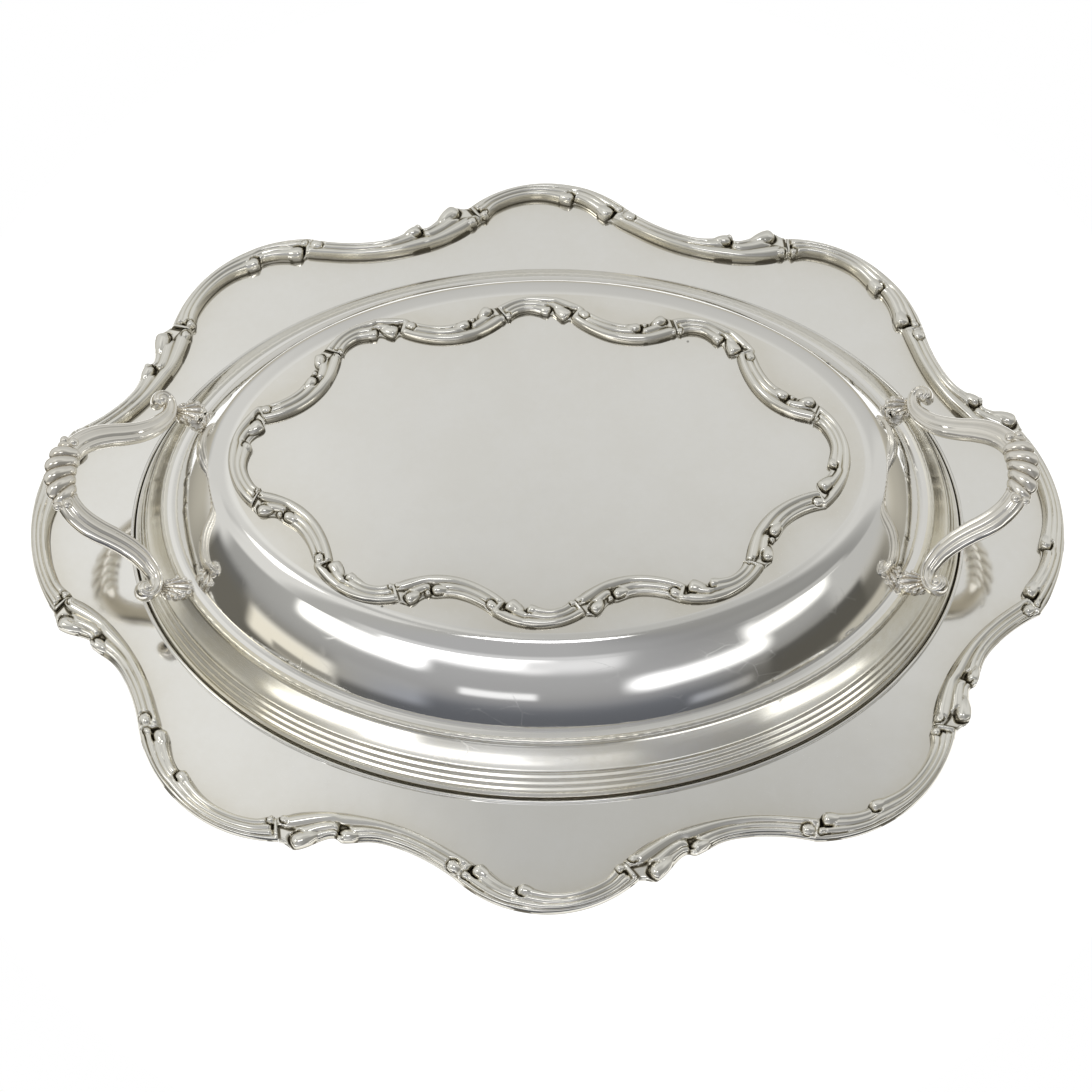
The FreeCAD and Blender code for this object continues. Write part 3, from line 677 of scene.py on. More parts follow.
@dataclass(frozen=True)
class BorderPlan:
    """Scalloped edge of eight bulges and eight hollows that repeats under half a turn.

    Attributes:
        knots: Points of the first quarter where arcs meet.
        rises: Bulges of the long side, first hollow, corner, second hollow and end.
        shift: Distance of the whole edge along X.
    """

    knots: tuple[Plan, ...]
    rises: tuple[float, float, float, float, float]
    shift: float = 0.0

    def castings(self) -> list[tuple[Scallop, Scallop]]:
        """Bulge and hollow of each casting, clockwise from the far long side.

        Returns:
            Eight pairs of arcs.
        """
        k1, k2, k3, k4 = self.knots
        m1, m2, m3, m4 = [(x, -y) for x, y in self.knots]
        side, dip1, corner, dip2, end = self.rises
        stops = ((-k1[0], k1[1]), k1, k2, k3, k4, m4, m3, m2, m1)
        rises = (side, dip1, corner, dip2, end, dip2, corner, dip1)
        arcs = [Scallop(a, b, rise, number % 2 == 0)
                for number, (a, b, rise) in enumerate(zip(stops, stops[1:], rises))]
        arcs += [arc.turned() for arc in arcs]
        return list(zip(arcs[::2], arcs[1::2]))

    def line(self, step: float = 0.5) -> Array:
        """Closed line of points along the edge."""
        rows = [arc.walk(np.linspace(0.0, arc.length, max(8, int(arc.length / step)), endpoint=False))[0]
                for pair in self.castings() for arc in pair]
        return np.concatenate(rows) + np.array([self.shift, 0.0])


RIM = BorderPlan(knots=((28.0, 123.0), (84.0, 110.3), (130.0, 74.0), (160.6, 33.5)),
                 rises=(10.6, 6.6, 10.0, 6.2, 10.8))
LID = BorderPlan(knots=((13.9, 53.8), (42.8, 49.3), (68.8, 38.0), (89.0, 17.5)),
                 rises=(4.3, 4.2, 4.6, 4.8, 8.3), shift=-2.6)


def film_by(rings: Array, line: Array, share: float, start: float, fade: float) -> Array:
    """Warm film beside an edge, which fades with the distance from it.

    Args:
        rings: Rings of points.
        line: Line of plan points along the edge.
        share: Strength of the film by the edge.
        start: Distance at which it begins to fade.
        fade: Distance over which it fades to a third.

    Returns:
        Strength at each point.
    """
    points = rings[..., :2].reshape(-1, 2)
    away = np.concatenate([np.sqrt(((part[:, None, :] - line[None]) ** 2).sum(-1).min(1))
                           for part in np.array_split(points, max(1, len(points) // 4000))])
    return share * np.exp(-np.clip(away.reshape(rings.shape[:2]) - start, 0.0, None) / fade)


# ---------------------------------------------------------------- castings


@dataclass(frozen=True)
class Tube:
    """Reed along the casting.

    Attributes:
        start: Where it starts, as a share of the arc.
        end: Where it ends, as a share of the arc.
        across: Place across the band at its start, middle and end.
        half: Half width at its start, middle and end, as shares of the band.
        tall: Height as a share of the band's height.
    """

    start: float
    end: float
    across: tuple[float, float, float]
    half: tuple[float, float, float]
    tall: float


@dataclass(frozen=True)
class Bead:
    """Round head, bud or bead on the casting.

    Attributes:
        along: Place along the arc, as a share of it.
        across: Place across the band, 0 at its outer and 1 at its inner edge.
        radius: Radius as a share of the band's width.
        tall: Height as a share of the band's height.
        moat: How deep the groove round its far side is, 0 to 1.
        tail: How many radii it runs back into its reed.
    """

    along: float
    across: float
    radius: float
    tall: float
    moat: float
    tail: float


@dataclass(frozen=True)
class Swell:
    """Place where the band's edge swings out round a head.

    Attributes:
        along: Place of the peak along the arc, as a share of it.
        before: Length of the rise in band widths.
        after: Length of the fall in band widths.
        reach: Height of the peak in band widths.
        outer: True for the outer edge, false for the inner one.
    """

    along: float
    before: float
    after: float
    reach: float
    outer: bool


@dataclass(frozen=True)
class Motif:
    """Ornament of one arc: reeds, heads and swollen edges.

    Attributes:
        tubes: Reeds.
        beads: Beads, in the order in which they are laid.
        swells: Places where an edge swings out.
        inner: Place of the inner edge at nine even steps along the arc, in band widths.
        collar: Place of the collar along the arc.
    """

    tubes: tuple[Tube, ...]
    beads: tuple[Bead, ...]
    swells: tuple[Swell, ...]
    inner: tuple[float, ...]
    collar: float


RIM_BULGE = Motif(
    tubes=(
        Tube(-0.02, 1.02, (0.08, 0.08, 0.08), (0.10, 0.11, 0.10), 0.70),
        Tube(0.02, 0.97, (0.29, 0.28, 0.33), (0.13, 0.14, 0.12), 0.88),
        Tube(0.03, 0.92, (0.51, 0.50, 0.56), (0.12, 0.13, 0.13), 0.96),
        Tube(0.04, 0.66, (0.80, 0.80, 0.78), (0.17, 0.23, 0.26), 1.0),
        Tube(0.655, 0.95, (0.72, 0.76, 0.76), (0.15, 0.22, 0.26), 0.98),
    ),
    beads=(
        Bead(0.045, 0.80, 0.20, 0.98, 0.3, 1.3),
        Bead(0.645, 0.78, 0.27, 1.06, 0.45, 2.6),
        Bead(0.930, 0.74, 0.31, 1.08, 0.45, 2.4),
        Bead(0.978, 0.36, 0.17, 0.92, 0.3, 1.6),
    ),
    swells=(Swell(0.045, 0.3, 0.45, 0.12, False), Swell(0.65, 1.2, 0.26, 0.16, False),
            Swell(0.935, 1.0, 0.30, 0.18, False)),
    inner=(0.90, 0.80, 0.76, 0.77, 0.80, 0.86, 0.88, 0.92, 0.92),
    collar=0.006,
)
RIM_HOLLOW = Motif(
    tubes=(
        Tube(-0.02, 1.02, (0.78, 0.77, 0.79), (0.24, 0.26, 0.20), 0.98),
        Tube(0.03, 0.65, (0.46, 0.44, 0.36), (0.12, 0.13, 0.15), 0.90),
        Tube(0.02, 0.64, (0.24, 0.23, 0.18), (0.11, 0.12, 0.14), 0.84),
        Tube(-0.02, 0.60, (0.07, 0.07, 0.06), (0.09, 0.09, 0.08), 0.64),
        Tube(0.67, 0.92, (0.38, 0.42, 0.38), (0.14, 0.17, 0.20), 0.94),
        Tube(0.67, 0.93, (0.12, 0.15, 0.16), (0.12, 0.15, 0.18), 0.82),
    ),
    beads=(
        Bead(0.055, 0.38, 0.25, 0.96, 0.35, 1.4),
        Bead(0.640, 0.20, 0.27, 1.02, 0.45, 2.2),
        Bead(0.668, 0.05, 0.15, 0.92, 0.3, 1.2),
        Bead(0.895, 0.20, 0.34, 1.06, 0.45, 2.6),
        Bead(0.955, 0.84, 0.19, 0.98, 0.35, 1.5),
    ),
    swells=(Swell(0.655, 0.9, 0.26, 0.24, True), Swell(0.915, 1.1, 0.40, 0.46, True)),
    inner=(0.92, 0.84, 0.84, 0.86, 0.88, 0.92, 0.98, 1.0, 0.94),
    collar=0.0,
)
LID_BULGE = Motif(
    tubes=(
        Tube(-0.03, 1.03, (0.20, 0.20, 0.18), (0.20, 0.23, 0.19), 0.94),
        Tube(0.03, 0.90, (0.53, 0.52, 0.62), (0.14, 0.16, 0.20), 0.96),
        Tube(0.04, 0.62, (0.80, 0.80, 0.80), (0.15, 0.19, 0.22), 1.0),
    ),
    beads=(
        Bead(0.055, 0.80, 0.19, 0.94, 0.3, 1.3),
        Bead(0.605, 0.80, 0.25, 1.04, 0.40, 2.4),
        Bead(0.860, 0.70, 0.35, 1.05, 0.40, 2.4),
    ),
    swells=(Swell(0.05, 0.3, 0.4, 0.08, False), Swell(0.61, 0.9, 0.20, 0.22, False),
            Swell(0.875, 0.9, 0.26, 0.28, False)),
    inner=(0.94, 0.90, 0.88, 0.88, 0.92, 0.86, 0.90, 0.94, 0.92),
    collar=0.008,
)
LID_HOLLOW = Motif(
    tubes=(
        Tube(-0.03, 1.03, (0.79, 0.78, 0.79), (0.21, 0.24, 0.20), 0.98),
        Tube(0.05, 0.66, (0.46, 0.44, 0.40), (0.14, 0.17, 0.19), 0.94),
        Tube(0.04, 0.56, (0.17, 0.17, 0.14), (0.13, 0.15, 0.14), 0.82),
        Tube(0.66, 0.94, (0.40, 0.40, 0.34), (0.14, 0.18, 0.18), 0.88),
    ),
    beads=(
        Bead(0.070, 0.34, 0.23, 0.94, 0.35, 1.5),
        Bead(0.610, 0.28, 0.26, 1.06, 0.45, 2.2),
        Bead(0.700, 0.12, 0.14, 0.90, 0.3, 1.0),
        Bead(0.880, 0.20, 0.29, 1.04, 0.45, 1.8),
        Bead(0.965, 0.84, 0.16, 0.92, 0.3, 1.3),
    ),
    swells=(Swell(0.63, 0.6, 0.24, 0.12, True), Swell(0.90, 0.7, 0.34, 0.32, True)),
    inner=(0.96, 0.98, 1.0, 1.04, 1.06, 1.06, 1.02, 0.98, 0.94),
    collar=0.0,
)


@dataclass(frozen=True)
class Border:
    """Eight castings round one scalloped edge.

    Attributes:
        name: Start of the pieces' names.
        plan: Scalloped edge.
        motifs: Ornament of bulges and of hollows.
        width: Width of the band.
        height: Height of the band.
        seat: Height that it stands on.
        step: Distance between rows of vertices.
        across: Vertices across the band.
        overhang: How far it reaches past the edge.
        joint: Gap left at each end of a casting.
    """

    name: str
    plan: BorderPlan
    motifs: tuple[Motif, Motif]
    width: float
    height: float
    seat: float
    step: float
    across: int
    overhang: float = 0.4
    joint: float = 0.1

    def build(self, material: Material, body: Body) -> None:
        """Make the castings.

        Args:
            material: Their finish.
            body: Body that they ride on.
        """
        pairs = self.plan.castings()
        for number, arcs in enumerate(pairs, start=1):
            casting = Casting(self, arcs, pairs[number - 2][1], pairs[number % 8][0])
            make_object(f"{self.name}_casting_{number}", casting.shell(), material, body, Slot.CAST,
                        f"{self.name}_mount_{number}", sharp=60.0)


@dataclass
class Casting:
    """One cast length of border: a bulge and the hollow after it.

    The band is a map of heights over distance along the edge and distance across it.
    Reeds are half rounds along it, beads are half balls with a groove round each, and
    the band's two edges swell where a bead reaches past them. In the map, lengths are
    in band widths and heights in shares of the band's height.

    Attributes:
        border: Border that it belongs to.
        arcs: Its bulge and its hollow.
        before: Arc of the casting before this one.
        after: Arc of the casting after this one.
    """

    # Height between the reeds, of the collars, and where a bead starts from
    FLOOR, COLLAR, BEAD_FOOT = (0.12, 0.32), 0.88, 0.50
    # Reeds' depth for their width, and the most of it
    REED_SLOPE, REED_DEPTH = 1.02, 0.66
    # Painted shade and dirt in a hollow: depth from which it lies, its rise with depth and the most of it
    DIRT_FROM, DIRT_RISE, DIRT_MOST = 0.045, 3.8, 0.95

    border: Border
    arcs: tuple[Scallop, Scallop]
    before: Scallop
    after: Scallop

    def _edge(self, run: Array) -> tuple[Array, Array]:
        """Points of the edge and normals, eased over the knots.

        Args:
            run: Distances from the casting's start in millimetres.

        Returns:
            Points and unit normals.
        """
        bulge, hollow = self.arcs
        first, total = bulge.length, bulge.length + hollow.length
        p1, n1 = bulge.walk(run)
        p2, n2 = hollow.walk(run - first)
        n0 = self.before.walk(np.array([self.before.length]))[1]
        n3 = self.after.walk(np.zeros(1))[1]
        ease = smooth_step(run, first - 2.5, first + 2.5)[:, None]
        start = 0.5 * (1 - smooth_step(run, 0.0, 3.0))[:, None]
        end = 0.5 * smooth_step(run, total - 3.0, total)[:, None]
        normal = (n1 * (1 - ease) + n2 * ease) * (1 - start - end) + n0 * start + n3 * end
        return (np.where((run <= first)[:, None], p1, p2),
                normal / np.linalg.norm(normal, axis=1, keepdims=True))

    def _parts(self) -> list[tuple[float, float, Motif]]:
        """Start, length and ornament of both arcs."""
        first, second = [arc.length / self.border.width for arc in self.arcs]
        return [(0.0, first, self.border.motifs[0]), (first, second, self.border.motifs[1])]

    def _edges_across(self, run: Array) -> tuple[Array, Array]:
        """Outer and inner edge of the band, measured from its outer side.

        Args:
            run: Distances along.

        Returns:
            Two arrays.
        """
        (_, first, bulge), (_, second, hollow) = self._parts()
        outer = np.zeros_like(run)
        steps = np.linspace(0.0, 1.0, 9)
        inner = np.where(run < first, np.interp(run / first, steps, bulge.inner),
                         np.interp((run - first) / second, steps, hollow.inner))
        soft = max(3, int(0.5 * self.border.width / self.border.step)) | 1
        inner = np.convolve(np.pad(inner, soft // 2, mode="edge"), np.ones(soft) / soft, "valid")
        for start, length, motif in self._parts():
            for swell in motif.swells:
                off = run - start - swell.along * length
                side = np.where(off < 0, swell.before, swell.after)
                rise = swell.reach * np.exp(-((np.abs(off) / side) ** 2.2))
                if swell.outer:
                    outer = outer - rise
                else:
                    inner = inner + rise
        return outer, inner

    def _heights(self, x: Array, edge: Array, wide: Array) -> Array:
        """Height map.

        Args:
            x: Distance along.
            edge: Share of the way between the band's two edges, 0 to 1.
            wide: Distance between the two edges.

        Returns:
            Array of heights.
        """
        from_middle = np.abs(2 * edge - 1)
        slope = self.REED_SLOPE * self.border.width / self.border.height
        tall = np.zeros_like(x)
        for start, length, motif in self._parts():
            for tube in motif.tubes:
                low, high = start + tube.start * length, start + tube.end * length
                share = np.clip((x - low) / (high - low), 0.0, 1.0)
                (a, b, c), (first, main, last) = tube.across, tube.half
                middle = np.interp(share, (0.0, 0.15, 0.5, 0.85, 1.0), (a, (a + b) / 2, b, (b + c) / 2, c))
                half = np.interp(share, (0.0, 0.25, 0.75, 1.0), (first, main, main, last))
                near = np.clip(np.minimum(x - low, high - x) / (1.6 * half), 0.0, 1.0)
                end = np.sqrt(1 - (1 - near) ** 2) * ((x > low) & (x < high))
                drop = np.minimum(slope * half, self.REED_DEPTH) * (1 - half_round(edge - middle, half))
                side = np.clip(1 - np.abs(2 * (edge - 0.5)) ** 7, 0.0, 1.0)
                tall = np.maximum(tall, (tube.tall - drop) * (0.45 + 0.55 * side) * end
                                  * (np.abs(edge - middle) < half))
            collar = half_round(x - start - motif.collar * length, np.full_like(x, 0.20))
            tall = np.maximum(tall, self.COLLAR * collar * (1 - from_middle ** 6))
        tall = np.maximum(tall, self.FLOOR[1] * (1 - from_middle ** 10) + self.FLOOR[0])
        for start, length, motif in self._parts():
            for bead in motif.beads:
                off = x - start - bead.along * length
                side = (edge - bead.across) * wide
                away = np.hypot(off, side) / bead.radius
                behind = smooth_step(-off / bead.radius, 0.0, 0.9)
                ring = 1 - bead.moat * (1 - behind) * (1 - smooth_step(away, 1.0, 1.30)) * (away > 0.85)
                tall = np.maximum(tall * ring, 0.30)
                drop = np.hypot(np.where(off < 0, off / bead.tail, off), side) / bead.radius
                ball = (self.BEAD_FOOT + (bead.tall - self.BEAD_FOOT)
                        * np.clip(1 - drop**2.4, 0.0, 1.0) ** 0.6)
                tall = np.where(drop < 1.0, np.maximum(tall, ball), tall)
        return tall

    def shell(self) -> Shell:
        """Closed skin of the casting.

        Returns:
            The skin in millimetres.
        """
        border = self.border
        total = self.arcs[0].length + self.arcs[1].length
        rows = int(total / border.step)
        run = np.linspace(border.joint, total - border.joint, rows)
        x = run / border.width
        outer, inner = self._edges_across(x)
        share = 0.5 - 0.5 * np.cos(np.linspace(0.0, math.pi, border.across))
        share = 0.55 * share + 0.45 * np.linspace(0.0, 1.0, border.across)
        d = outer[:, None] + (inner - outer)[:, None] * share[None]
        tall = self._heights(np.repeat(x[:, None], border.across, axis=1),
                             np.repeat(share[None], rows, axis=0), d[:, -1:] - d[:, :1])
        point, normal = self._edge(run)
        plan = point[:, None] + normal[:, None] * (border.overhang - d * border.width)[..., None]
        top = np.concatenate([plan, (border.seat + tall * border.height)[..., None]], axis=2)
        rings = np.concatenate([top[:, :1], top, top[:, -1:]], axis=1)
        rings[:, [0, -1], 2] = border.seat
        rings[..., 0] += border.plan.shift
        # Painted shade with dirt: darker the deeper a point lies below its neighbours, fully dark along the
        # band's feet
        ceiling = np.maximum(tall, np.roll(tall, 2, 1))
        for k in (-3, -2, -1, 1, 3):
            ceiling = np.maximum.reduce([ceiling, np.roll(tall, k, 1), np.roll(tall, k, 0)])
        hollow = np.clip((ceiling - tall - self.DIRT_FROM) * self.DIRT_RISE, 0.0, self.DIRT_MOST)
        recess = np.pad(hollow, ((0, 0), (1, 1)), constant_values=1.0)
        return closed_tube(rings, rings[0].mean(0), rings[-1].mean(0), recess)


# ---------------------------------------------------------------- sheet pieces


# Painted shade in the gap between lid and collar, on either side of it
SEAM = 0.93


@dataclass(frozen=True)
class DishSizes:
    """Sizes of the base: heights from the table, widths as short half axes of the oval.

    Attributes:
        sheet: Thickness.
        foot_height: Height of the foot ring.
        flange_top: Height of the flange's upper face.
        seat_drop: Depth of the lid's seat below it.
        collar_rise: Height of the collar above it.
        collar_outer: Half axis of the collar's outer side.
        collar_inner: Half axis of its inner side.
        bowl_mouth: Half axis of the well's mouth.
        bowl_floor: Half axis of its flat floor.
        foot_outer: Half axis of the foot ring's outer side.
        foot_inner: Half axis of its inner side.
        edge_inset: Distance of the flange's edge inside the scalloped line.
    """

    sheet: float = 1.2
    foot_height: float = 4.0
    flange_top: float = 42.0
    seat_drop: float = 0.8
    collar_rise: float = 1.1
    collar_outer: float = 98.6
    collar_inner: float = 97.2
    bowl_mouth: float = 92.0
    bowl_floor: float = 66.0
    foot_outer: float = 67.0
    foot_inner: float = 63.6
    edge_inset: float = 0.5


class Dish:
    """Base sheet with its well, collar and scalloped flange, and the foot ring."""

    # Middle of the gap round the lid as a half axis, and how far its painted shade reaches
    SEAM_HALF, SEAM_REACH = 96.3, 1.05

    def __init__(self, sizes: DishSizes, plan: OvalPlan) -> None:
        """Keep the sizes and find the flange's edge."""
        self.sizes, self.plan = sizes, plan
        self.edge = self._edge_halves() - sizes.edge_inset

    def _edge_halves(self, inside: float = 40.0) -> Array:
        """Short half axis at which each normal of the oval meets the scalloped edge.

        Args:
            inside: Half axis of a ring well inside the edge, where the search starts.

        Returns:
            One number for each point of a ring.
        """
        line, n = RIM.line(), self.plan.normal
        seg = np.roll(line, -1, axis=0) - line
        cross = n[:, None, 0] * seg[None, :, 1] - n[:, None, 1] * seg[None, :, 0]
        gap = line[None] - self.plan.ring(inside, 0.0)[:, None, :2]
        safe = np.where(np.abs(cross) < 1e-9, 1e-9, cross)
        reach = (gap[..., 0] * seg[None, :, 1] - gap[..., 1] * seg[None, :, 0]) / safe
        place = (gap[..., 0] * n[:, None, 1] - gap[..., 1] * n[:, None, 0]) / safe
        good = (place >= -1e-6) & (place <= 1 + 1e-6) & (reach > 0)
        return inside + np.where(good, reach, 1e9).min(1)

    def _flange(self, height: float, shares: Array) -> Array:
        """Rings between the collar and the scalloped edge."""
        start = self.sizes.collar_outer
        return np.stack([self.plan.ring(start + (self.edge - start) * t, height) for t in shares])

    def build_sheet(self, material: Material) -> None:
        """Make the base sheet.

        Args:
            material: Its finish.
        """
        s = self.sizes
        seat, floor = s.flange_top - s.seat_drop, s.foot_height + s.sheet
        out, up = s.bowl_mouth - s.bowl_floor, seat - floor
        wall = through([(s.bowl_floor, floor), (s.bowl_floor + 0.42 * out, floor + 0.07 * up),
                        (s.bowl_floor + 0.78 * out, floor + 0.30 * up), (s.bowl_mouth, seat)], 26)
        radius = (s.collar_outer - s.collar_inner) / 2
        turn = np.radians(np.linspace(180.0, 0.0, 9))
        bead = np.stack([(s.collar_outer + s.collar_inner) / 2 + radius * np.cos(turn),
                         s.flange_top + s.collar_rise - radius + radius * np.sin(turn)], axis=1)
        inner = np.concatenate([wall, [(s.collar_inner - 0.15, seat), (s.collar_inner, seat + 0.15)], bead,
                                [(s.collar_outer, s.flange_top + 0.12)]])
        outer = wall[::-1] + np.array([s.sheet * 0.7, -s.sheet])
        top_floor = self.plan.shrunk(s.bowl_floor, floor, np.linspace(0.03, 0.99, 14))
        low_floor = self.plan.shrunk(s.bowl_floor, s.foot_height, np.linspace(0.99, 0.03, 8))
        flange = self._flange(s.flange_top, np.concatenate([[0.004], np.linspace(0.02, 1.0, 26)]))
        under = self._flange(s.flange_top - s.sheet, np.linspace(1.0, 0.0, 8))
        rings = np.concatenate([top_floor, self.plan.lathe(inner), flange, under, self.plan.lathe(outer),
                                low_floor])
        # Real warm stain by the rim, then painted shade in the gap round the lid
        stain = film_by(rings, RIM.line(1.0), 0.36, 7.0, 4.0)
        half = rings[:, self.plan.around // 4, 1]
        seam = np.abs(half - self.SEAM_HALF) < self.SEAM_REACH
        # Painted shade of the gap round the lid, on the collar and the seat
        stain[seam & (np.arange(len(rings)) < len(top_floor) + len(inner))] = SEAM
        shell = closed_tube(rings, np.array([0.0, 0.0, floor]), np.array([0.0, 0.0, s.foot_height]), stain)
        make_object("base_sheet", shell, material, Body.BASE, Slot.SHEET, "base_dish", sharp=30.0)

    def build_foot(self, material: Material, soft: float = 0.5, bevel: float = 0.15) -> None:
        """Make the foot ring.

        Args:
            material: Its finish.
            soft: Size of its rounded lower edges.
            bevel: Inset of the point half way round them.
        """
        s = self.sizes
        rings = self.plan.lathe(np.array([
            (s.foot_inner, s.foot_height), (s.foot_inner, soft), (s.foot_inner + bevel, bevel),
            (s.foot_inner + soft, 0.0), (s.foot_outer - soft, 0.0), (s.foot_outer - bevel, bevel),
            (s.foot_outer, soft), (s.foot_outer, s.foot_height)]))
        count, around, _ = rings.shape
        shell = Shell(rings.reshape(-1, 3), tube_faces(count, around, wrap=True), np.zeros(count * around))
        make_object("foot", shell.turned_out(), material, Body.BASE, Slot.SHEET, "foot_ring")


@dataclass(frozen=True)
class LidSizes:
    """Sizes of the lid: heights from the table, widths as short half axes of the oval.

    Attributes:
        sheet: Thickness.
        ledge: Height of the ledge.
        dome_foot: Half axis of the shoulder's foot.
        top_flat: Half axis of the flat top.
        top: Height of the flat top.
        meet_slope: Slope in degrees where the shoulder's two arcs meet.
        foot_slope: Slope in degrees at its foot.
    """

    sheet: float = 1.2
    ledge: float = 62.25
    dome_foot: float = 81.3
    top_flat: float = 60.0
    top: float = 89.0
    meet_slope: float = 50.0
    foot_slope: float = 66.0


class Lid:
    """Lid sheet: flat top, mirror shoulder, ledge and moulded wall."""

    # Outer wall from the bottom edge up: three steps, a cove and the ledge's lip
    WALL = [(95.5, 41.2), (95.5, 42.6), (95.9, 43.15), (96.5, 43.4), (96.7, 43.7), (96.6, 44.05),
            (96.0, 44.4), (95.75, 45.1), (95.7, 46.1), (95.45, 46.6), (94.85, 47.0), (94.6, 47.5),
            (94.5, 48.4), (94.2, 48.95), (93.6, 49.35), (93.35, 49.9), (93.25, 50.8), (92.95, 51.35),
            (92.3, 51.8), (92.05, 52.3), (91.95, 53.0), (91.5, 53.65), (90.6, 54.5), (89.4, 55.8),
            (88.2, 57.2), (87.2, 58.45), (86.3, 59.6), (85.75, 60.3), (85.5, 60.8),
            (85.55, 61.1), (85.5, 61.65), (85.15, 62.05), (84.6, 62.25), (84.1, 62.2), (83.6, 61.95)]
    # Painted reflection on the wall, a warm tint in the wall's film colour: azimuth in degrees, half width
    # and strength
    WARM = ((-62, 20, 0.8), (14, 9, 0.45), (76, 15, 0.6))
    WARM_SHARE = 0.82
    # Height up to which the gap by the collar has painted shade on the wall
    SEAM_TOP = 43.3

    def __init__(self, sizes: LidSizes, plan: OvalPlan) -> None:
        """Keep the sizes."""
        self.sizes, self.plan = sizes, plan

    def _shoulder(self, inset: float, count: int) -> Array:
        """Section of the shoulder from its foot to the flat top.

        Two arcs that meet in tangent: a tight one that leaves the flat level, and a
        wide one that reaches the foot at a steep slope. Both radii follow from the
        width and the drop of the shoulder.

        Args:
            inset: Distance inside the outer face.
            count: How many points.

        Returns:
            Rows of short half axis and height.
        """
        s = self.sizes
        meet, last = math.radians(s.meet_slope), math.radians(s.foot_slope)
        reach = np.array([s.dome_foot - s.top_flat, s.top - s.ledge - s.sheet])
        parts = np.array([[math.sin(meet), math.sin(last) - math.sin(meet)],
                          [1 - math.cos(meet), math.cos(meet) - math.cos(last)]])
        tight, wide = np.linalg.solve(parts, reach)
        slope = np.concatenate([np.linspace(last, meet, count // 2, endpoint=False),
                                np.linspace(meet, 0.0, count - count // 2)])
        steep = np.maximum(slope, meet)
        gentle = np.minimum(slope, meet)
        half = s.top_flat + tight * np.sin(gentle) + wide * (np.sin(steep) - math.sin(meet))
        height = s.top - tight * (1 - np.cos(gentle)) - wide * (math.cos(meet) - np.cos(steep))
        return np.stack([half - inset * np.sin(slope), height - inset * np.cos(slope)], axis=1)

    def _beading(self, rings: Array, section: Array) -> None:
        """Lay the worn beading on the ledge's lip: two waves of unlike pitch.

        Args:
            rings: Rings of the outer face, changed in place.
            section: Their half axes and heights.
        """
        turn = circle(self.plan.around)
        wave = 0.07 * (np.sin(171 * turn) + np.sin(233 * turn + 1.3))
        lip = (section[:, 0] > 84.4) & (section[:, 1] > 60.9)
        rings[lip, :, :2] += self.plan.normal * wave[:, None]
        rings[lip, :, 2] += wave

    def build(self, plate: Material, mirror: Material, side: Material) -> None:
        """Make the lid's sheet, satin on top and mirror bright below.

        Args:
            plate: Finish of the flat top.
            mirror: Finish of the shoulder, the ledge and the inside.
            side: Finish of the wall.
        """
        s, plan = self.sizes, self.plan
        wall = filled_profile(self.WALL, 0.9)
        ledge = filled_profile([(83.4, 61.95), (82.2, 61.95), (81.4, 62.1), (s.dome_foot + 0.1, 62.7)], 0.8)
        shoulder = self._shoulder(0.0, 52)
        inside = np.concatenate([self._shoulder(s.sheet, 20)[::-1], filled_profile(
            [(s.dome_foot - s.sheet, s.ledge - s.sheet), (84.2, s.ledge - s.sheet - 0.4), (87.0, 56.2),
             (91.0, 50.6), (93.6, 46.0), (94.4, 43.5), (94.4, 41.2)], 3.0)])
        top = plan.shrunk(s.top_flat, s.top, np.linspace(0.02, 0.995, 58))
        roof = plan.shrunk(s.top_flat, s.top - s.sheet, np.linspace(0.99, 0.05, 8))
        section = np.concatenate([wall, ledge, shoulder])[::-1]
        outer = plan.lathe(section)
        self._beading(outer, section)
        rings = np.concatenate([top, outer, plan.lathe(inside[::-1]), roof])
        first = len(top) + len(shoulder) + len(ledge)
        last = first + len(wall)
        stain = np.zeros(rings.shape[:2])
        stain[: len(top)] = film_by(top, LID.line(0.8), 0.38, 3.0, 5.5)
        # Painted shade of the gap by the collar, on the wall's lowest part
        stain = np.where(rings[..., 2] < self.SEAM_TOP, SEAM, stain)
        # Painted reflection: a warm tint laid on the wall at a few azimuths
        around = np.degrees(np.arctan2(rings[first, :, 0], -rings[first, :, 1]))
        warm = sum(share * np.exp(-((around - middle) / half) ** 2) for middle, half, share in self.WARM)
        stain[first: last] = np.maximum(stain[first: last], self.WARM_SHARE * warm)
        shell = closed_tube(rings, np.array([0.0, 0.0, s.top]),
                            np.array([0.0, 0.0, s.top - s.sheet]), stain)
        mesh = make_object("lid_sheet", shell, plate, Body.LID, Slot.SHEET, "lid_shell", sharp=38.0).data
        mesh.materials.append(mirror)
        mesh.materials.append(side)
        # Four rings past the flat top are still satin; the fans at both ends too
        ring_of = np.arange((len(rings) - 1) * plan.around) // plan.around
        finish = np.where(ring_of >= len(top) + 4, 1, 0)
        finish[(ring_of >= first) & (ring_of < last)] = 2
        index = np.zeros(len(mesh.polygons), dtype=np.int32)
        index[: len(finish)] = finish
        mesh.polygons.foreach_set("material_index", index)


# ---------------------------------------------------------------- handles


@dataclass(frozen=True)
class HandleSizes:
    """Sizes of a handle, measured in its own tilted plane.

    Attributes:
        root_x: Where the plane starts, from the dish's centre.
        root_z: Height of the plane there.
        tilt: Rise of the plane in degrees.
        bow_centre: Centre of the bow's middle part, outward in the plane.
        bow_radius: Its radius.
        bar_width: Widest width of the bar.
        bar_up: Height of the bar's upper side.
        bar_down: Depth of its underside.
    """

    root_x: float = 120.5
    root_z: float = 66.0
    tilt: float = 26.3
    bow_centre: float = 16.9
    bow_radius: float = 16.5
    bar_width: float = 8.1
    bar_up: float = 3.0
    bar_down: float = 2.6


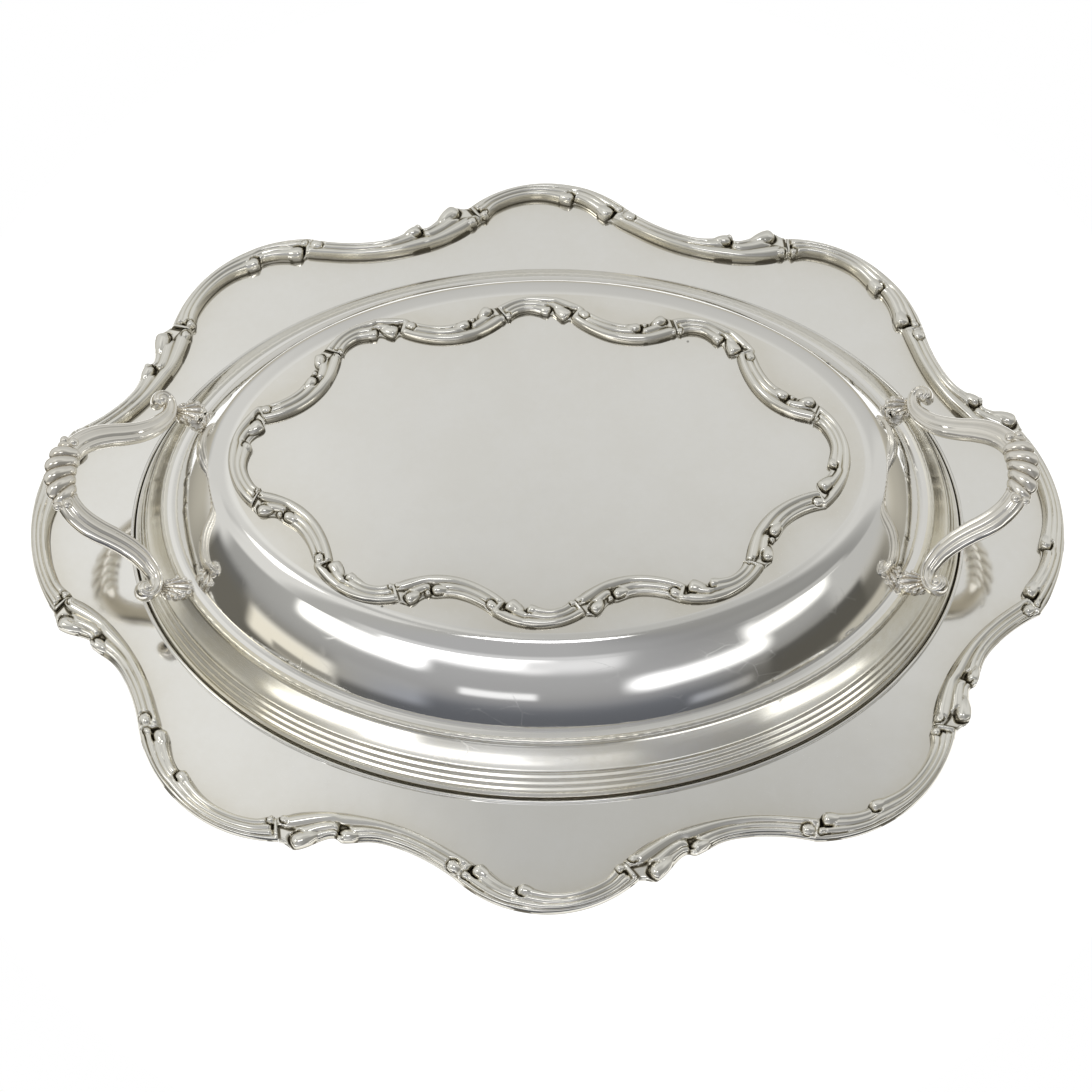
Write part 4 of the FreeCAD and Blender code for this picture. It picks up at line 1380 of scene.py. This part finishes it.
class Handle:
    """Cast handle: reeded bar, fluted shell, scroll ends and leaves."""

    # Middle line of the bar from a scroll's eye to the middle of the bow
    PATH = [(3.2, 33.3), (4.1, 32.6), (5.0, 33.2), (5.1, 34.5), (4.0, 35.5), (2.3, 35.5), (0.9, 34.3),
            (0.2, 32.0), (0.6, 29.3), (2.6, 26.3), (5.9, 23.2), (10.2, 20.6), (15.2, 18.6),
            (20.2, 17.0), (24.6, 15.0), (28.6, 12.0), (31.6, 8.0), (33.1, 4.0), (33.4, 0.0)]
    # Leaf: centre along X and Y, reach along X and Y, and height of its foot
    LEAF_X, LEAF_Y, LEAF_REACH, LEAF_HALF, LEAF_FOOT = 117.0, 31.8, 5.4, 3.5, 62.0
    # Beads at the leaf's tips: angle in degrees and radius
    TIPS = ((180, 0.95), (152, 0.95), (208, 0.95), (124, 0.9), (236, 0.9), (96, 0.8), (264, 0.8))
    # Part of the casting's displacement that its leaves, which stand on the lid, take over
    LEAF_SHARE = 0.4

    def __init__(self, sizes: HandleSizes, side: int, shift: tuple[float, float, float]) -> None:
        """Keep the sizes."""
        self.sizes, self.side, self.shift = sizes, side, shift

    def _place(self, out: Array, along: Array, up: Array) -> Array:
        """Points of the handle's tilted plane in the frame of the dish.

        Args:
            out: Distance outward in the plane.
            along: Distance along Y.
            up: Distance above the plane.

        Returns:
            Array of points.
        """
        s = self.sizes
        tilt = math.radians(s.tilt)
        x = s.root_x + out * math.cos(tilt) - up * math.sin(tilt)
        z = s.root_z + out * math.sin(tilt) + up * math.cos(tilt)
        return np.stack([self.side * x + self.shift[0], along + self.shift[1], z + self.shift[2]], axis=-1)

    def _bar(self) -> Shell:
        """Bar with three reeds on its upper side and a rounded underside."""
        s = self.sizes
        path = through(self.PATH + [(a, -b) for a, b in self.PATH[-2::-1]], 420)
        way = np.gradient(path, axis=0)
        way /= np.linalg.norm(way, axis=1, keepdims=True)
        side = np.stack([way[:, 1], -way[:, 0]], axis=1)
        run = np.linspace(0.0, 1.0, len(path))
        from_end = np.minimum(run, 1 - run)
        wide = np.interp(from_end, (0.0, 0.02, 0.08, 0.14, 0.22, 0.33, 0.42, 0.5),
                         (0.28, 0.38, 0.48, 0.72, 0.88, 1.0, 0.95, 0.92)) * s.bar_width / 2
        tall = np.interp(from_end, (0.0, 0.03, 0.10, 0.2, 0.5), (0.80, 0.90, 0.90, 0.95, 1.0))
        deep = np.interp(from_end, (0.0, 0.05, 0.12, 0.2, 0.5), (1.7, 1.7, 1.25, 1.0, 1.0))
        turn = circle(56)
        p = np.cos(turn)
        reed = np.maximum.reduce([half_round(p - c, np.full_like(p, w))
                                  for c, w in ((-0.70, 0.32), (0.0, 0.40), (0.70, 0.32))])
        upper = s.bar_up * (0.58 * dome(np.abs(p), 2.6) + 0.42 * reed * dome(np.abs(p), 6))
        q = np.where(np.sin(turn) >= 0, upper, -s.bar_down * dome(p, 2))
        # Film and painted shade in the valleys between the reeds, and a little under the bar
        recess = np.where(np.sin(turn) > 0, np.clip(1 - reed * 1.6, 0.0, 1.0) * 0.8, 0.3)
        plan = path[:, None] + side[:, None] * (p[None, :, None] * wide[:, None, None])
        rings = self._place(plan[..., 0], plan[..., 1],
                            q[None] * np.where(q[None] > 0, tall[:, None], deep[:, None]))
        return closed_tube(rings, rings[0].mean(0), rings[-1].mean(0),
                           np.repeat(recess[None], len(path), axis=0))

    def _fluted_shell(self, reach: float = 35.0, pitch: float = 13.2, slant: float = 7.0) -> Shell:
        """Swelling at the bow's middle with ribs across it.

        Args:
            reach: Half its length in degrees round the bow.
            pitch: Distance between ribs in degrees.
            slant: How far a rib leans in degrees.

        Returns:
            Its skin.
        """
        s = self.sizes
        angle = np.linspace(-reach, reach, 150)
        share = np.abs(angle) / reach
        ends = np.sqrt(np.clip(1 - np.clip((share - 0.9) / 0.1, 0, 1) ** 2, 0.02, None))[:, None]
        turn = circle(64)
        slanted = angle[:, None] + slant * np.cos(turn)[None]
        phase = (slanted + pitch / 2 + 100 * pitch) % pitch - pitch / 2
        rib = dome(phase / (pitch * 0.52), 2)
        # Ribs stand out most on the outer and upper side
        face = 0.5 + 0.5 * np.cos(turn - math.radians(50))
        depth = 1 - 0.34 * (1 - rib) * (0.35 + 0.65 * face)[None]
        swell = (0.66 + 0.34 * dome(share, 2.4))[:, None]
        radial = np.where(np.cos(turn) > 0, 6.1, 4.4)[None] * np.cos(turn)[None] * swell * depth * ends
        up = np.where(np.sin(turn) > 0, 3.9, 3.4)[None] * np.sin(turn)[None] * swell * depth * ends
        arm = s.bow_radius + radial
        rad = np.radians(angle)[:, None]
        rings = self._place(s.bow_centre + arm * np.cos(rad), arm * np.sin(rad), up + 0.3)
        # Film and painted shade between the ribs
        return closed_tube(rings, rings[0].mean(0), rings[-1].mean(0), np.clip((1 - rib) * 1.4, 0, 1))

    def _ball(self, out: float, along: float, up: float, radius: float) -> Shell:
        """Ball in the handle's plane.

        Args:
            out: Centre outward.
            along: Centre along Y.
            up: Centre above the plane.
            radius: Radius.

        Returns:
            Its skin.
        """
        ball = np.array([out, along, up]) + radius * unit_ball(82.0, 13, 22)
        low, high = [self._place(np.array(out), np.array(along), np.array(level))
                     for level in (up - radius, up + radius)]
        return closed_tube(self._place(*np.moveaxis(ball, -1, 0)), low, high, np.full(ball.shape[:2], 0.1))

    def _stand(self, x: Array, y: Array, z: Array, way: float) -> Array:
        """Points on the lid's ledge, taken to this handle's end of the dish."""
        return np.stack([self.side * x + self.shift[0] * self.LEAF_SHARE, way * y + self.shift[1], z],
                        axis=-1)

    def _leaf(self, way: float) -> Shell:
        """Fan-shaped leaf from the scroll in to the foot of the dome, with flutes.

        The outline is an ellipse drawn from its outer end, and the height falls off
        with the distance from its middle and ripples with the angle of the fan.

        Args:
            way: 1 for the far leaf, -1 for the near one.

        Returns:
            Its skin.
        """
        lat = np.radians(np.linspace(3.0, 90.0, 20))[:, None]
        lon = circle(120)[None]
        edge = 1 + 0.09 * np.abs(np.cos(lon * 6.0))
        x = self.LEAF_X + self.LEAF_REACH * np.sin(lat) * np.cos(lon) * edge
        y = self.LEAF_Y + self.LEAF_HALF * np.sin(lat) * np.sin(lon) * edge
        fan = np.arctan2(y - self.LEAF_Y, self.LEAF_X + 5.5 - x)
        ripple = 0.5 + 0.5 * np.cos(fan * 26.0)
        z = (self.LEAF_FOOT + 0.3 + (3.3 + 0.7 * ripple) * np.cos(lat) ** 0.55
             * (1 - 0.30 * (x - self.LEAF_X) / self.LEAF_REACH))
        rings = self._stand(x, y, z, way)
        low = rings[-1:].copy()
        low[..., 2] = self.LEAF_FOOT
        # Film and painted shade between the flutes, fully dark at the leaf's foot on the lid
        recess = np.concatenate([np.clip(1 - 1.5 * ripple, 0, 1) * 0.85, np.ones((1, 120))])
        return closed_tube(np.concatenate([rings, low]), rings[0].mean(0), low[0].mean(0), recess)

    def _tips(self, way: float) -> list[Shell]:
        """Small beads at the tips of a leaf's flutes.

        Args:
            way: 1 for the far leaf, -1 for the near one.

        Returns:
            Their skins.
        """
        ball = unit_ball(78.0, 9, 14)
        shells = []
        for turn, size in self.TIPS:
            x = self.LEAF_X + 5.1 * math.cos(math.radians(turn))
            y = self.LEAF_Y + 3.4 * math.sin(math.radians(turn))
            middle = self._stand(x, y, 64.6, way)
            pole = np.array([0.0, 0.0, size])
            shells.append(closed_tube(middle + size * ball, middle - pole, middle + pole))
        return shells

    def build(self, material: Material, name: str) -> None:
        """Make the handle as one piece.

        Args:
            material: Its finish.
            name: Name of the node that it stands for.
        """
        s = self.sizes
        parts = [self._bar(), self._fluted_shell()]
        for way in (1.0, -1.0):
            # Two beads beside the fluted shell: reach past the bow, angle, height and radius
            for more, turn, up, radius in ((1.6, 1.0, 2.5, 1.7), (4.2, 0.93, 1.0, 1.5)):
                arm, rad = s.bow_radius + more, math.radians(37.0) * turn
                parts.append(self._ball(s.bow_centre + arm * math.cos(rad), way * arm * math.sin(rad),
                                        up, radius))
            parts += [self._ball(3.3, way * 33.9, 1.4, 1.7), self._leaf(way), *self._tips(way)]
        make_object(name.replace("handle", "cast_handle"), Shell.join(parts), material, Body.LID,
                    Slot.CAST, name, sharp=50.0)


# ---------------------------------------------------------------- stage


@dataclass(frozen=True)
class Panel:
    """Soft-edged panel on the light tent.

    Attributes:
        azimuth: Middle in degrees, 0 in front of the dish and growing to the right.
        elevation: Middle above the horizon in degrees.
        wide: Half width in degrees.
        high: Half height in degrees.
        level: Brightness.
        soft: Width of the soft edge in degrees.
    """

    azimuth: float
    elevation: float
    wide: float
    high: float
    level: float
    soft: float


class Stage:
    """Camera, light tent, floor and lamp."""

    # Brightness of the tent at heights in degrees, in front and behind
    FRONT = ((-90, 0.20), (-40, 0.15), (-22, 0.13), (-13, 0.15), (-6, 0.28), (3, 0.35), (12, 0.31),
             (25, 0.29), (45, 0.30), (62, 0.29), (80, 0.34), (90, 0.50))
    BACK = ((-90, 0.20), (-32, 0.30), (-16, 0.45), (-4, 0.50), (20, 0.54), (45, 0.57), (58, 0.66),
            (64, 0.64), (74, 0.49), (90, 0.50))
    PANELS = [Panel(*row) for row in (
        (-22.0, 48.0, 40.0, 44.0, 0.42, 30.0), (-74.0, 46.0, 18.0, 34.0, 0.72, 14.0),
        (-98.0, 14.0, 18.0, 22.0, 0.68, 9.0), (-145.0, 66.0, 18.0, 15.0, 0.78, 30.0),
        (-128.0, 28.0, 26.0, 26.0, 0.64, 18.0), (112.0, 24.0, 16.0, 34.0, 0.64, 12.0),
        (-85.0, 60.0, 10.0, 6.0, 3.0, 7.0), (0.0, 81.0, 40.0, 3.0, 3.6, 3.0),
        (-12.0, 19.0, 26.0, 9.0, 0.64, 9.0), (-15.0, 12.5, 15.0, 2.8, 2.2, 6.0),
        (4.0, 11.5, 9.0, 3.0, 0.8, 5.0), (-36.0, 6.5, 14.0, 3.0, 2.6, 5.0),
        (28.0, -0.5, 13.0, 2.4, 2.3, 6.0), (52.0, 7.0, 14.0, 3.6, 2.4, 6.0),
        (54.0, 15.0, 16.0, 7.0, 0.5, 6.0), (78.0, 0.0, 18.0, 9.0, 0.5, 7.0),
        (-8.5, -3.0, 6.5, 1.5, 1.0, 1.5), (-30.0, -9.0, 9.0, 5.5, 0.37, 5.0),
        (-51.0, -14.0, 12.0, 5.0, 0.85, 4.0), (-47.0, -17.5, 8.0, 1.6, 0.28, 1.5),
        (-76.0, -14.0, 10.0, 10.0, 0.14, 5.0), (31.0, -14.0, 6.0, 2.0, 0.4, 3.0),
        (56.0, -13.0, 15.0, 6.0, 0.1, 3.0), (70.0, -24.0, 10.0, 4.0, 0.5, 3.0),
    )]

    @staticmethod
    def camera() -> None:
        """Put the camera where the photograph was taken."""
        data = bpy.data.cameras.new("camera")
        data.lens, data.sensor_width = 73.751, 36.0
        data.clip_start, data.clip_end = 0.01, 20.0
        obj = bpy.data.objects.new("camera", data)
        obj.location = (-0.000486, -0.32279, 0.71413)
        obj.rotation_euler = (math.radians(25.047), 0.0, 0.0)
        bpy.context.scene.collection.objects.link(obj)
        bpy.context.scene.camera = obj
        bpy.context.scene.view_settings.view_transform = "Standard"

    @staticmethod
    def world() -> None:
        """Plain level all round, white to the viewer and to metal."""
        world = bpy.data.worlds.new("surroundings")
        bpy.context.scene.world = world
        world.use_nodes = True
        world.cycles.sampling_method = "NONE"
        n = NodeTree(world.node_tree)
        level = n.add("ShaderNodeBackground", {0: (1.0, 1.0, 1.0, 1.0), 1: 0.85})
        white = n.add("ShaderNodeBackground", {0: (1.0, 1.0, 1.0, 1.0), 1: 1.0})
        both = n.add("ShaderNodeMixShader", {0: Stage.shown(n), 1: level.outputs[0], 2: white.outputs[0]})
        n.add("ShaderNodeOutputWorld", {0: both.outputs[0]})

    @staticmethod
    def shown(n: NodeTree) -> bpy.types.NodeSocket:
        """1 for rays of the viewer, of metal and of glass, 0 for the rest.

        Args:
            n: Tree in which it is used.

        Returns:
            Socket with the value.
        """
        path = n.add("ShaderNodeLightPath")
        either = n.math("MAXIMUM", path.outputs["Is Camera Ray"], path.outputs["Is Glossy Ray"])
        return n.math("MAXIMUM", either, path.outputs["Is Transmission Ray"])

    @classmethod
    def _level(cls, n: NodeTree, azimuth: Socket, elevation: Socket) -> Socket:
        """Brightness of the tent: two upright scales blended round it, then the panels.

        Args:
            n: Tree in which it is used.
            azimuth: Degrees round the dish, 0 in front.
            elevation: Degrees above the horizon.

        Returns:
            Socket with the brightness.
        """
        height = n.math("MULTIPLY_ADD", elevation, 1 / 180.0, 0.5)
        behind = n.ramp(n.math("ABSOLUTE", azimuth), 70.0, 105.0)
        scales = []
        for table, share in ((cls.FRONT, n.math("SUBTRACT", 1.0, behind)), (cls.BACK, behind)):
            node = n.add("ShaderNodeFloatCurve", {0: 1.0, 1: height})
            curve = node.mapping.curves[0]
            first, *between, last = [(degrees / 180.0 + 0.5, value) for degrees, value in table]
            curve.points[0].location, curve.points[-1].location = first, last
            for place, value in between:
                curve.points.new(place, value)
            node.mapping.update()
            scales.append(n.math("MULTIPLY", node.outputs[0], share))
        light = n.math("ADD", *scales)
        for panel in cls.PANELS:
            inside = 1.0
            for place, middle, half in ((azimuth, panel.azimuth, panel.wide),
                                        (elevation, panel.elevation, panel.high)):
                off = n.math("ABSOLUTE", n.math("SUBTRACT", place, middle))
                edge = n.fall(off, half - panel.soft / 2, half + panel.soft / 2)
                inside = n.math("MULTIPLY", edge, inside)
            light = n.math("ADD", light, n.math("MULTIPLY", inside, n.math("SUBTRACT", panel.level, light)))
        return light

    @classmethod
    def tent(cls, radius: float = 2.5) -> None:
        """Light tent round the dish, as seen in polished silver: a ball with soft panels.

        Args:
            radius: Radius in metres.
        """
        pole = np.array([0.0, 0.0, radius])
        skin = closed_tube(unit_ball(88.0, 45, 96) * radius, -pole, pole)
        mesh = bpy.data.meshes.new("light_tent")
        mesh.from_pydata(skin.points.tolist(), [], skin.faces)
        obj = bpy.data.objects.new("light_tent", mesh)
        bpy.context.scene.collection.objects.link(obj)
        obj.visible_camera = obj.visible_diffuse = obj.visible_shadow = False
        material = bpy.data.materials.new("tent_cloth")
        material.use_nodes = True
        material.cycles.emission_sampling = "NONE"
        n = NodeTree(material.node_tree)
        way = n.add("ShaderNodeTexCoord").outputs["Object"]
        x, y, z = n.add("ShaderNodeSeparateXYZ", {0: way}).outputs
        turn = n.math("MULTIPLY", n.math("ARCTAN2", x, n.math("MULTIPLY", y, -1.0)), 180.0 / math.pi)
        rise = n.math("MULTIPLY", n.math("ARCSINE", n.math("DIVIDE", z, radius)), 180.0 / math.pi)
        below = n.fall(rise, -13.0, -3.0)
        aside = n.ramp(n.math("ABSOLUTE", turn), 20.0, 48.0)
        warm = n.mix(below, (1.0, 0.992, 0.955, 1.0), (1.0, 0.945, 0.80, 1.0))
        cool = n.mix(below, (0.99, 0.99, 1.0, 1.0), (0.86, 0.90, 1.0, 1.0))
        tint = n.mix(aside, cool, warm)
        cloth = n.add("ShaderNodeEmission", {0: tint, 1: cls._level(n, turn, rise)})
        n.add("ShaderNodeOutputMaterial", {0: cloth.outputs[0]})
        mesh.materials.append(material)

    @staticmethod
    def floor() -> None:
        """Pale round sheet under the dish, white to the viewer and to metal apart from the shadow."""
        mesh = bpy.data.meshes.new("floor")
        turn = circle(96)
        edge = np.stack([0.235 * np.cos(turn), 0.025 + 0.235 * np.sin(turn), 0.0 * turn], axis=1)
        mesh.from_pydata(edge.tolist(), [], [list(range(96))])
        obj = bpy.data.objects.new("floor", mesh)
        bpy.context.scene.collection.objects.link(obj)
        material = bpy.data.materials.new("floor_pale")
        material.use_nodes = True
        n = NodeTree(material.node_tree)
        pale = n.add("ShaderNodeBsdfDiffuse", {0: (0.85, 0.85, 0.85, 1.0)})
        own = n.add("ShaderNodeBsdfDiffuse", {0: (0.42, 0.42, 0.42, 1.0)})
        glow = n.add("ShaderNodeEmission", {0: (1.0, 1.0, 1.0, 1.0), 1: 0.82})
        lit = n.add("ShaderNodeAddShader", {0: own.outputs[0], 1: glow.outputs[0]})
        both = n.add("ShaderNodeMixShader", {0: Stage.shown(n), 1: pale.outputs[0], 2: lit.outputs[0]})
        n.add("ShaderNodeOutputMaterial", {0: both.outputs[0]})
        mesh.materials.append(material)

    @staticmethod
    def lamps() -> None:
        """Large soft lamp above the dish, a little toward the viewer."""
        data = bpy.data.lights.new("soft_lamp", "AREA")
        data.shape, data.size, data.size_y, data.energy = "RECTANGLE", 1.5, 0.8, 4.0
        obj = bpy.data.objects.new("soft_lamp", data)
        obj.location = (-0.12, -0.42, 2.1)
        obj.rotation_euler = (math.radians(-11.0), math.radians(-3.0), 0.0)
        obj.visible_glossy = False
        bpy.context.scene.collection.objects.link(obj)


def record_bounds() -> None:
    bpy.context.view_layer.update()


def main() -> None:
    """Build the dish, its finishes and the stage."""
    logging.basicConfig(level=logging.INFO, format="%(name)s: %(message)s")
    record_bounds()
    palette, effects = Palette(), Effects()
    plate, mirror = palette.plate.build(effects), palette.mirror.build(effects)
    side = palette.wall.build(effects)
    cast, grip = palette.cast.build(effects), palette.handle.build(effects)
    plan = OvalPlan()
    dish = Dish(DishSizes(), plan)
    dish.build_sheet(plate)
    dish.build_foot(mirror)
    Lid(LidSizes(), plan).build(plate, mirror, side)
    Border("rim", RIM, (RIM_BULGE, RIM_HOLLOW), 8.0, 3.8, 42.0, 0.36, 48).build(cast, Body.BASE)
    Border("lid", LID, (LID_BULGE, LID_HOLLOW), 6.4, 2.72, 89.0, 0.26, 42).build(cast, Body.LID)
    Handle(HandleSizes(), 1, (0.0, 0.0, 0.0)).build(grip, "handle_right")
    Handle(HandleSizes(), -1, (-3.5, -1.9, 0.0)).build(grip, "handle_left")
    Stage.camera()
    Stage.world()
    Stage.tent()
    Stage.floor()
    Stage.lamps()
    record_bounds()


if __name__ == "__main__":
    main()
